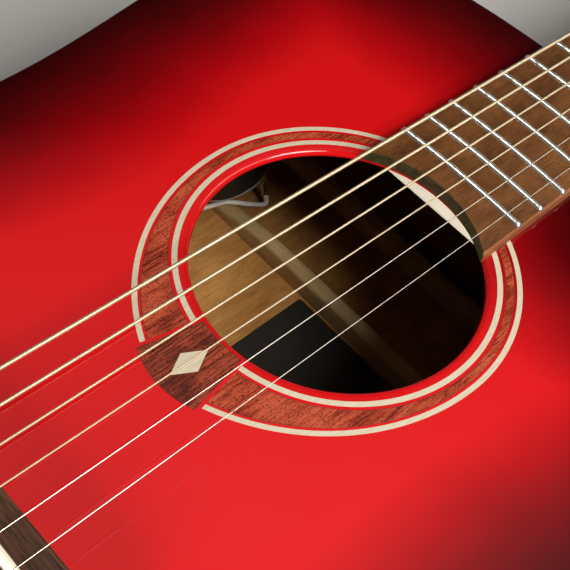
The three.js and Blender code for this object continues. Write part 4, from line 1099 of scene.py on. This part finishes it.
def add_pins():
    head = BRIDGE["top"] + 0.05
    profile = [(0, -17), (1.5, -17), (2.35, head - 3), (2.4, head), (3.7, head + 0.1), (4.05, head + 0.7),
               (4.1, head + 1.5), (3.85, head + 2.6), (3.2, head + 3.6), (2.2, head + 4.25), (1.6, head + 4.45)]
    profile = rounded(profile, 0.4) + [(0, head + 4.45)]
    dot = [(0, head + 3.9), (1.6, head + 3.9), (1.6, head + 4.45), (1.1, head + 4.6), (0, head + 4.68)]
    for k in range(6):
        place = Matrix.Translation((string_x(k, PIN_Y), PIN_Y, 0))
        piece(f"string_pin_{k + 1}", *lathe(profile, 36, place), BONE, [f"bridge_pin_{k + 1}"], "bone", smooth=50)
        piece(f"pin_dot_{k + 1}", *lathe(dot, 28, place), BLACK, [], "black_plastic", smooth=40)


add_bridge()
add_saddle()
add_pins()


# ---- neck, headstock and headplate ---------------------------------------------------------------
HEEL_LOW = -96.0
TENON = {"half": 11, "depth": 20, "low": -78}
STRAP = {"y": BODY_END_Y + 13, "z": -62}
POST_BORE_R = 5.0
BORE_EDGES = (0.15, 0.15)
HEAD_CELL = 7.0


def heel_half(z):
    return lerp(12, board_half(BODY_END_Y), max(0.0, (z - HEEL_LOW) / (-1 - HEEL_LOW)) ** 1.4)


def neck_shaft():
    rings = []
    for y in np.linspace(BODY_END_Y + 0.1, HEAD_Y - 1.5, 60):
        half, depth = board_half(y), lerp(14.2, 17.5, (HEAD_Y - y) / 360)
        rings.append([(-half * math.cos(a), y, -depth * math.sin(a) ** 0.75) for a in np.linspace(0, math.pi, 41)])
    return loft(rings)


def heel():
    rings = []
    for t in np.linspace(0, 1, 40):
        z = lerp(HEEL_LOW, -1, t)
        shrink = 1 - 0.06 * max(0.0, 1 - t * 30)
        half, depth = heel_half(z), lerp(15, 62, t**3)
        rings.append([(-half * shrink * math.cos(a), BODY_END_Y + 0.1 + depth * shrink * math.sin(a) ** 0.8, z)
                      for a in np.linspace(0, math.pi, 49)])
    return loft(rings)


def head_outline():
    foot = path_of((22.2, -3), [((23, 10), (33, 12), (34, 26))], 12)
    crown = path_of((36.5, HEAD_L - 20), [((36.8, HEAD_L - 11), (33.4, HEAD_L - 7), (26, HEAD_L - 6)),
                                          ((16, HEAD_L - 5), (7, HEAD_L - 3), (0, HEAD_L))], 12)
    right = foot + crown
    return right + [(-x, y) for x, y in reversed(right[:-1])]


def box_part(x0, x1, y0, y1, z0, z1):
    return prism([(x0, y0), (x1, y0), (x1, y1), (x0, y1)], z0, z1)


def head_board(low, high, edge):
    """A layer of the headstock, bored for the six posts."""
    bores = [[(x + dx, u + du) for dx, du in circle(POST_BORE_R, 24)] for _, _, x, u in POSTS]
    verts, faces, *_ = panel(head_outline(), lambda x, y: high, lambda x, y: low, HEAD_CELL, (edge, edge), bores,
                             BORE_EDGES)
    return moved((verts, faces), HEAD)


def add_neck():
    tenon = box_part(-TENON["half"], TENON["half"], BODY_END_Y - TENON["depth"], BODY_END_Y + 4, TENON["low"],
                     -TOP_T - 0.6)
    made = piece("neck_shaft", *join(neck_shaft(), heel(), tenon), NECK_WOOD, ["neck"], "body_wood", smooth=38)
    soften(made, 0.5)
    piece("headstock", *head_board(-HEAD_T, -PLATE_T, 0.8), NECK_WOOD, [], "body_wood")
    piece("head_veneer", *head_board(-PLATE_T, 0, 0.4), HEAD_WOOD, ["headplate"], "dark_wood")


# ---- tuners --------------------------------------------------------------------------------------
GEAR_TEETH, WORM_PITCH, WORM_R, GEAR_W = 14, 2.04, 2.1, -18.9
GEAR_R = GEAR_TEETH * WORM_PITCH / math.tau
CENTRES = GEAR_R + WORM_R
WIND_LOW, WIND_HIGH = 3.2, 7.0
POST_TOP = 10.5
KEY_REACH = 18.5
SHAFT_R = 1.5
WIND_SINK = 0.15  # how far a wind bites into its post
LUG_AT, LUG_T = 5.1, 1.4
POSTS = [(k, k < 3, -POST_X if k < 3 else POST_X, POST_U[k] if k < 3 else POST_U[5 - k]) for k in range(6)]


def wheel(z0, z1):
    lean = (z1 - z0) / 2 * WORM_PITCH / (math.tau * WORM_R) / GEAR_R
    tooth = [(-0.66, -0.62), (-0.5, -0.3), (-0.26, 0.26), (0.0, 0.36), (0.26, 0.26), (0.5, -0.3), (0.66, -0.62)]
    rings = []
    inner_lean = lean * 0.86
    for z, turn, trim in ((z0, -lean, 0.15), (z0 + 0.2, -inner_lean, 0), (z1 - 0.2, inner_lean, 0), (z1, lean, 0.15)):
        ring = []
        for i in range(GEAR_TEETH):
            for offset, dr in tooth:
                a = -math.pi / 2 + math.tau * i / GEAR_TEETH + offset / GEAR_R + turn
                r = GEAR_R + dr - trim
                ring.append((r * math.cos(a), r * math.sin(a), z))
        rings.append(ring)
    return loft(rings)


def thread(turns):
    section = ((-0.52, 1.3), (-0.3, 2.15), (-0.14, 2.4), (0.14, 2.4), (0.3, 2.15), (0.52, 1.3))
    per, rings = 28, []
    for i in range(math.ceil(-turns * per), int(turns * per) + 1):
        a = math.tau * i / per
        x = WORM_PITCH * (i / per + 0.5)
        rings.append([(x + dx, r * math.cos(a), r * math.sin(a)) for dx, r in section])
    return loft(rings)


def button():
    """Tuner button: a rounded kidney, flat enough to hold between finger and thumb."""
    rings = []
    for v in np.linspace(-math.pi / 2 + 0.02, math.pi / 2 - 0.02, 31):
        ring = []
        for u in np.linspace(0, math.tau, 48, endpoint=False):
            cx = math.copysign(abs(math.cos(u)) ** 0.82, math.cos(u)) * math.cos(v) ** 0.8
            cy = math.copysign(abs(math.sin(u)) ** 0.82, math.sin(u)) * math.cos(v) ** 0.8
            dish = 1 - 0.16 * math.exp(-(cx * cx + cy * cy) * 3)
            ring.append((8.5 * cx, 10.1 * cy, 3.5 * math.sin(v) * dish))
        rings.append(ring)
    return loft(rings)


def coil(radius, wire, turns):
    """String wound on a post, as a close helix about +Z."""
    per = 28
    points = [(radius * math.cos(a), radius * math.sin(a), WIND_LOW + wire / 2 + wire * 1.04 * a / math.tau)
              for a in (math.tau * i / per for i in range(int(turns * per) + 1))]
    return tube(points, wire / 2, 10)


def string_look(k):
    """A string's material and slot: the lowest four are wound."""
    return (WOUND[k], "wound_string") if k < len(WOUND) else (STEEL_WIRE, "plain_string")


def add_tuner(k, bass, x, u):
    frame_m = HEAD @ Matrix.Translation((x, u, 0))
    shaft_m = frame_m @ Matrix.Translation((0, -CENTRES, GEAR_W))
    out = -1 if bass else 1
    post_body, key_body = f"tuner_{k + 1}_post", f"tuner_{k + 1}_key"
    post = lathe([(0, GEAR_W - 3.4), (1.7, GEAR_W - 3.4), (1.9, GEAR_W - 3.2), (1.9, GEAR_W - 1.8),
                  (POST_R, GEAR_W - 1.8), (POST_R, WIND_LOW - 0.4), (POST_R + 0.3, WIND_LOW - 0.1),
                  (POST_R - 0.1, WIND_LOW + 0.4), (POST_R - 0.2, WIND_HIGH - 0.5), (POST_R, WIND_HIGH + 0.4),
                  (POST_R, POST_TOP - 0.8), (POST_R - 0.25, POST_TOP - 0.25), (POST_R - 0.8, POST_TOP),
                  (0.9, POST_TOP), (0.8, POST_TOP - 0.5), (0, POST_TOP - 0.5)], 36)
    screw = lathe([(0, GEAR_W - 3.5), (1.2, GEAR_W - 3.5), (1.2, GEAR_W - 3.3), (0, GEAR_W - 3.3)], 20)
    gear = moved(wheel(-1.4, 1.4), Matrix.Translation((0, 0, GEAR_W)))
    piece(f"post_{k + 1}", *moved(join(post, screw, gear), frame_m), NICKEL, [post_body], "nickel", post_body,
          smooth=32)
    wire = STRING_D[k]
    turns = min(3.4, (WIND_HIGH - WIND_LOW) / wire / 1.04 - 0.6)
    material, slot = string_look(k)
    winds = moved(coil(POST_R + wire / 2 - WIND_SINK, wire, turns), frame_m)
    piece(f"string_winds_{k + 1}", *winds, material, [], slot, post_body)
    start = -LUG_AT - LUG_T - 0.4
    profile = [(0, start), (SHAFT_R - 0.2, start), (SHAFT_R, start + 0.2), (SHAFT_R, KEY_REACH), (2.2, KEY_REACH),
               (2.7, KEY_REACH + 0.4), (2.7, KEY_REACH + 2), (0, KEY_REACH + 2)]
    turn = Matrix.Rotation(out * math.pi / 2, 4, "Y")
    grip = moved(button(), Matrix.Translation((out * (KEY_REACH + 9), 0, 0)))
    key = join(moved(lathe(profile, 28), turn), thread(1.4), grip)
    piece(f"key_{k + 1}", *moved(key, shaft_m), NICKEL, [key_body], "nickel", key_body, smooth=40)
    bore = POST_R + 0.25
    bushing = lathe(rounded([(bore, -0.6), (6.3, -0.6), (6.3, 0.7), (4.6, 1.3), (bore, 1.3)], 0.35)
                    + [(bore, -0.6)], 44)
    piece(f"post_bushing_{k + 1}", *moved(bushing, frame_m), NICKEL, [], "nickel", smooth=45)


def add_plate_screws():
    parts = []
    head = [(0, 0), (2.1, 0), (2.0, -0.35), (1.5, -0.75), (0.6, -0.95), (0.5, -0.5), (0, -0.5)]
    for side in (-1, 1):
        for u in (POST_U[0] + 13, (POST_U[1] + POST_U[2]) / 2 + 4):
            place = HEAD @ Matrix.Translation((side * (POST_X + 3.4), u, -HEAD_T - 1.5))
            parts.append(lathe(head, 28, place))
    piece("plate_screws", *join(*parts), NICKEL, [], "nickel", smooth=40)


# ---- strings -------------------------------------------------------------------------------------
def smooth_route(points, radius, steps=5):
    """A polyline with its corners rounded."""
    made = [Vector(points[0])]
    for before, corner, after in zip(points, points[1:], points[2:]):
        b, c, a = Vector(before), Vector(corner), Vector(after)
        r = min(radius, (b - c).length * 0.45, (a - c).length * 0.45)
        p, q = c + (b - c).normalized() * r, c + (a - c).normalized() * r
        for i in range(steps + 1):
            t = i / steps
            made.append(p * (1 - t) ** 2 + c * (2 * t * (1 - t)) + q * t * t)
    return made + [Vector(points[-1])]


def add_string(k, bass, x, u):
    d = STRING_D[k]
    r = d / 2
    side = 1 if bass else -1
    end = HEAD @ Vector((x + side * (POST_R + d / 2 - WIND_SINK), u, WIND_LOW + d * 1.5))
    sx, nx, px = string_x(k, SADDLE_Y), string_x(k, NUT_Y), string_x(k, PIN_Y)
    saddle_z, nut_z = string_z(sx, SADDLE_Y), string_z(nx, NUT_Y)
    route = [
        (px, PIN_Y + 2.4 - r, -6),
        (px, PIN_Y + 2.4 - r, BRIDGE["top"] - 0.6),
        (lerp(px, sx, 0.1), PIN_Y + 3.8, BRIDGE["top"] + r + 0.35),
        (sx, SADDLE_Y, saddle_z + 0.05),
        (lerp(sx, nx, 0.5), lerp(SADDLE_Y, NUT_Y, 0.5), (saddle_z + nut_z) / 2 + 0.05),
        (nx, NUT_Y + 1, nut_z + 0.05),
        (nx, HEAD_Y - 0.8, nut_z - 0.1),
        tuple(end),
    ]
    material, slot = string_look(k)
    piece(f"wire_{k + 1}", *tube(smooth_route(route, 1.6), r, 20), material, [f"string_{k + 1}"], slot, smooth=60)


WOUND = [wound_wire(f"wound_wire_{k + 1}", pitch) for k, pitch in enumerate((0.42, 0.34, 0.27, 0.22))]
add_neck()
for post in POSTS:
    add_tuner(*post)
    add_string(*post)
add_plate_screws()


# ---- inside the body -----------------------------------------------------------------------------
LINING_W, LINING_H = 6.0, 14.0
BRACE_CENTRE = Vector((0, -84))
BRACE_ANGLE = math.radians(49)
BRACE_HALF = 215.0
TRANSVERSE = {"y": 51.5, "h": 9.0, "w": 9.0, "half": 150.0}
BACK_BRACES = [  # place along Y, half length, length of the scooped ends, height, width
    (93.0, 138.0, 38.0, 10.0, 7.6),
    (47.7, 138.0, 64.0, 11.0, 7.2),
    (-152.0, 192.0, 40.0, 10.0, 13.6),
]
KERF_PITCH, KERF = 6.4, 0.9
LINING_LIP = 4.5
BLOCK_GAP = {"x0": -44, "x1": 30, "y": 100}  # the neck block stands here, so the linings stop
INNER_WALL = inset(OUTLINE, SIDE_T + LINING_W + 0.3)


def bar(samples, width, across):
    """A brace: samples are (centre point, root height, free height); its free edge is rounded."""
    rings = []
    for (x, y), root, free in samples:
        sign = 1 if free > root else -1
        r = min(width * 0.34, abs(free - root) * 0.8)
        section = [(-width / 2, root)]
        for a in np.linspace(math.pi, 0, 11):
            side = -1 if a > math.pi / 2 else 1
            section.append((side * (width / 2 - r) + r * math.cos(a), free - sign * r * (1 - math.sin(a))))
        section.append((width / 2, root))
        rings.append([(x + across[0] * w, y + across[1] * w, z) for w, z in section])
    return loft(rings)


def reach(start, direction, limit):
    """How far a line runs, up to a limit, before it meets the linings."""
    steps = np.arange(1, limit, 0.5)
    ok = inside(np.array(start)[None] + steps[:, None] * np.array(direction)[None], INNER_WALL)
    return limit if ok.all() else steps[np.argmin(ok)] - 0.5


def scoop(distance, length, tip, full):
    """Height of a brace near its end: thin at the tip, and full after a length."""
    t = min(1.0, max(0.0, distance / length))
    return lerp(tip, full, t * t * (3 - 2 * t) * 0.35 + t * 0.65)


def top_brace(centre, angle, limit, height, width, scoop_length=38.0):
    along = Vector((math.cos(angle), math.sin(angle)))
    low, high = -reach(centre, -along, limit), reach(centre, along, limit)
    samples = []
    for s in np.linspace(low, high, 90):
        depth = scoop(min(s - low, high - s), scoop_length, 3.0, height)
        samples.append((tuple(Vector(centre) + along * s), -TOP_T + 0.02, -TOP_T - 0.3 - depth))
    return bar(samples, width, (-along.y, along.x))


def back_brace(y, half, scoop_length, height, width):
    samples = []
    for x in np.linspace(-reach((0, y), (-1, 0), half), reach((0, y), (1, 0), half), 110):
        root = back_z(x, y) + BACK_T - 0.02
        free = back_z(0, y) + BACK_T + scoop(half - abs(x), scoop_length, 0.0, height)
        if free > root + 0.4:
            samples.append(((x, y), root, free))
    return bar(samples, width, (0, 1))


def kerfed(node, name, root_z, sign):
    """Kerfed lining: small blocks glued side by side along the inside of the ribs."""
    outer, inner = inset(OUTLINE, SIDE_T), inset(OUTLINE, SIDE_T + LINING_W)
    closed = np.vstack([outer, outer[:1]])
    lengths = np.r_[0, np.cumsum(np.linalg.norm(np.diff(closed, axis=0), axis=1))]

    def at(loop, s):
        ring = np.vstack([loop, loop[:1]])
        return np.array([np.interp(s, lengths, ring[:, 0]), np.interp(s, lengths, ring[:, 1])])

    parts = []
    for s in np.arange(2, lengths[-1] - KERF_PITCH, KERF_PITCH):
        a, b = s, s + KERF_PITCH - KERF
        x, y = at(outer, s)
        if y > BLOCK_GAP["y"] and BLOCK_GAP["x0"] < x < BLOCK_GAP["x1"]:
            continue
        verts = []
        for t in (a, b):
            o, i = at(outer, t), at(inner, t)
            root, foot = root_z(*o), root_z(*o) + sign * LINING_H
            mid = lerp(o, i, 0.25)
            verts += [(*o, root), (*i, root_z(*i)), (*i, root_z(*i) + sign * LINING_LIP), (*mid, foot), (*o, foot)]
        faces = [(0, 1, 2, 3, 4), (9, 8, 7, 6, 5)] + [(i, (i + 1) % 5, 5 + (i + 1) % 5, 5 + i) for i in range(5)]
        parts.append((verts, faces))
    piece(name, *join(*parts), PALE_BRACE, [node], "brace_wood", smooth=20)


def add_inside():
    legs = [top_brace(BRACE_CENTRE, math.pi / 2 + side * BRACE_ANGLE, BRACE_HALF, 13.0, 8.0) for side in (-1, 1)]
    piece("cross_brace", *join(*legs), PALE_BRACE, ["x_brace"], "brace_wood", smooth=35)
    middle = Vector((0, TRANSVERSE["y"] + TRANSVERSE["w"] / 2))
    cross = top_brace(middle, 0.0, TRANSVERSE["half"], TRANSVERSE["h"], TRANSVERSE["w"])
    piece("neck_side_brace", *cross, PALE_BRACE, ["transverse_brace"], "brace_wood", smooth=35)
    for i, spec in enumerate(BACK_BRACES):
        piece(f"back_bar_{i + 1}", *back_brace(*spec), BACK_BRACE_WOOD, [f"back_brace_{i + 1}"], "brace_wood",
              smooth=35)
    kerfed("top_lining", "top_kerfing", lambda x, y: -TOP_T, -1)
    kerfed("back_lining", "back_kerfing", lambda x, y: back_z(x, y) + BACK_T, 1)


def add_label():
    verts, faces, *_ = panel(rounded_box(-44.5, 44.5, -22, 43, 1.5), lambda x, y: back_z(x, y) + BACK_T + 0.22,
                             lambda x, y: back_z(x, y) + BACK_T + 0.02, 6.0, (0.05, 0.05))
    piece("label_sheet", verts, faces, PAPER, ["maker_label"], "label_paper")


def rounded_box(x0, x1, y0, y1, radius, steps=5):
    points = []
    left, right, low, high = x0 + radius, x1 - radius, y0 + radius, y1 - radius
    for start, (cx, cy) in enumerate(((right, high), (left, high), (left, low), (right, low))):
        for i in range(steps + 1):
            a = math.pi / 2 * (start + i / steps)
            points.append((cx + radius * math.cos(a), cy + radius * math.sin(a)))
    return [p for q in [subdivide(a, b, 8.0) for a, b in zip(points, points[1:] + points[:1])] for p in q]


def subdivide(a, b, step):
    """Points from a towards b, b left out, no further apart than a step."""
    n = max(1, math.ceil(math.dist(a, b) / step))
    return [(lerp(a[0], b[0], i / n), lerp(a[1], b[1], i / n)) for i in range(n)]


# ---- preamp, pickup and fittings -----------------------------------------------------------------
KNOB_Z = -43.5
KNOBS = {"volume_knob": PREAMP["y0"] + 12, "tone_knob": PREAMP["y0"] + 29}
LEAD_X = -33.0
LEAD_R = 1.1
LEAD = [
    (-99, 66, -87.7), (-97, 65.5, -92), (-93, 65, -97), (-90.5, 62.5, -99), (-93.5, 56, -97.5), (-99, 46, -94.5),
    (-104, 37, -97), (-108, 20, -92), (-110, -10, -78), (-104, -50, -56), (-88, -95, -34), (-64, -127, -24),
    (-44, -142, -20), (-35, -145.4, -14), (LEAD_X, SADDLE_Y, -7), (LEAD_X, SADDLE_Y, 2.4),
]


def catmull(points, steps):
    """A smooth curve through points, its tangents half the span of their neighbours."""
    p = [Vector(point) for point in points]
    p = [2 * p[0] - p[1], *p, 2 * p[-1] - p[-2]]
    made = []
    for a, b, c, d in zip(p, p[1:], p[2:], p[3:]):
        for i in range(steps):
            t = i / steps
            bend, twist = 2 * a - 5 * b + 4 * c - d, 3 * b - a - 3 * c + d
            made.append(0.5 * (2 * b + (c - a) * t + bend * t * t + twist * t**3))
    return made + [p[-2]]


def add_pickup():
    strip = box_part(-SADDLE["half"] + 1, SADDLE["half"] - 1, SADDLE_Y - 1.2, SADDLE_Y + 1.2, SADDLE["low"] - 1.8,
                     SADDLE["low"] - 0.3)
    lead = tube(catmull(LEAD, 8), LEAD_R, 16)
    piece("pickup_lead", *join(lead, strip), JACKET, ["pickup"], "lead_jacket", smooth=50)
    place = aim(LEAD[0], Vector(LEAD[2]) - Vector(LEAD[0]))
    boot = lathe(rounded([(0, 0), (2.1, 0), (2.1, 2.4), (1.7, 4.6), (0, 4.6)], 0.3), 28, place)
    pin = lathe(rounded([(0, 4.4), (1.35, 4.4), (1.35, 9.4), (1.55, 9.6), (1.55, 10.8), (0, 11.2)], 0.3), 28, place)
    piece("lead_boot", *boot, BOOT_BROWN, [], "lead_jacket", smooth=40)
    piece("lead_pin", *pin, NICKEL, [], "nickel", smooth=40)


def fluted(radius, low, high, flutes=30):
    """A knob's grip: a turned cap whose wall has fine flutes, about +Z."""
    n = flutes * 6
    rings = []
    rows = [(low, radius - 0.25, 0.0), (low + 0.3, radius, 0.6), (high - 0.9, radius * 0.97, 1.0),
            (high - 0.35, radius * 0.93, 0.5), (high, radius * 0.86, 0.0), (high - 0.05, radius * 0.4, 0.0)]
    for z, row_r, depth in rows:
        ring = []
        for a in (math.tau * i / n for i in range(n)):
            r = row_r - 0.16 * depth * (0.5 - 0.5 * math.cos(flutes * a))
            ring.append((r * math.cos(a), r * math.sin(a), z))
        rings.append(ring)
    return loft(rings)


def add_preamp():
    dress("preamp_housing", BLACK, 0.5, segments=3)
    dress("tuner_switch", BLACK, 0.5, segments=3)
    dress("battery_drawer", BLACK, 0.35)
    for name, y in KNOBS.items():
        place = aim((PREAMP["face"], y, KNOB_Z), (-1, 0, 0))
        stem = lathe([(0, -12), (2, -12), (2, 0.8), (0, 0.8)], 24)
        cap = moved(join(stem, fluted(4.6, 0.5, 5.0)), place)
        piece(f"{name}_cap", *cap, BLACK, [name], "black_plastic", name, smooth=50)
        mark = moved(box_part(-0.22, 0.22, 1.0, 3.9, 4.9, 5.03), place)
        piece(f"{name}_mark", *mark, PEARL, [], "pale_inlay", name)
    ridges = [moved(box_part(-0.35, 0.35, -11, 11, -0.3, 0.35), aim((-150.9, 53, z), (-1, 0, 0)))
              for z in (-70.5, -68.5, -66.5)]
    grip = piece("drawer_grip", *join(*ridges), BLACK, [], "black_plastic", "battery_drawer")
    soften(grip, 0.2)
    # A pale grey tube round the lower edge of the housing's rounded inner end: a painted highlight standing for the
    # gloss along that edge of the black plastic.
    round_y, round_r, highlight_z = 53.0, 23.0, -87.3
    bow = [(PREAMP["inner"] - round_r + round_r * math.cos(a), round_y + 24.9 * math.sin(a), highlight_z)
           for a in np.linspace(-math.pi / 2, math.pi / 2, 41)]
    rim = [(-136, 28.2, highlight_z), *bow, (-136, 77.8, highlight_z)]
    piece("preamp_painted_highlight", *tube(rim, 0.55, 12), PAINTED_HIGHLIGHT_GREY, [], "black_plastic", smooth=60)


def add_fittings():
    strap_x = -heel_half(STRAP["z"])
    knob = rounded([(0, -8), (1.4, -8), (1.4, 0.4), (6.3, 0.4), (6.3, 1.4), (4, 3.2), (3.5, 6), (6.5, 9),
                    (6.7, 10.4), (5.2, 11.6), (2.2, 11.6), (1.9, 11.0), (0, 11.0)], 0.6)
    place = aim((strap_x, STRAP["y"], STRAP["z"]), (-1, 0, 0))
    piece("strap_knob", *lathe(knob, 48, place), NICKEL, ["strap_button"], "nickel", smooth=40)
    washer = lathe(rounded([(2, 0), (7.4, 0), (7.4, 0.8), (2, 1.0)], 0.3) + [(2, 0)], 44,
                   aim((strap_x + 0.2, STRAP["y"], STRAP["z"]), (-1, 0, 0)))
    piece("strap_felt", *washer, FELT, [], "black_plastic", smooth=40)
    jack = [(3.35, -30), (3.35, 12.3)]
    jack += rounded([(3.35, 12.3), (3.9, 12.6), (7.8, 12.6), (8, 11), (5.6, 8.4), (5.4, 4.2), (8.4, 2.2), (8.6, 0.9),
                     (8.6, 0.0), (6.2, 0.0)], 0.5)
    jack += [(6.2, -23), (8.6, -23), (8.6, -34), (0, -34), (0, -30), (3.35, -30)]
    place = aim((0, TAIL_Y, -58), (0, -1, 0))
    piece("jack_sleeve", *lathe(jack, 48, place), NICKEL, ["end_pin_jack"], "nickel", smooth=40)
    dress("neck_block", BLOCK_WOOD, 0.6)
    dress("end_block", BLOCK_WOOD, 0.6)
    dress("bridge_plate", PLATE_WOOD, 0.3)
    for side in ("bass", "treble"):
        dress(f"tuner_plate_{side}", NICKEL, 0.2)


BACK_BRACE_WOOD = wood("back_brace_wood", (0.52, 0.35, 0.15), (0.70, 0.50, 0.24), grain=(0.05, 0.9, 0.9), rough=0.75,
                       pores=0.1, specular=0.2)
# Pale grey of the painted highlight along the preamp housing's lower edge.
PAINTED_HIGHLIGHT_GREY = plastic("painted_highlight_grey", (0.42, 0.41, 0.39), 0.22)
BOOT_BROWN = plastic("boot_brown", (0.16, 0.075, 0.025), 0.45)
FELT = plastic("strap_felt", (0.02, 0.02, 0.02), 0.95, 0.06)
add_inside()
add_label()
add_pickup()
add_preamp()
add_fittings()
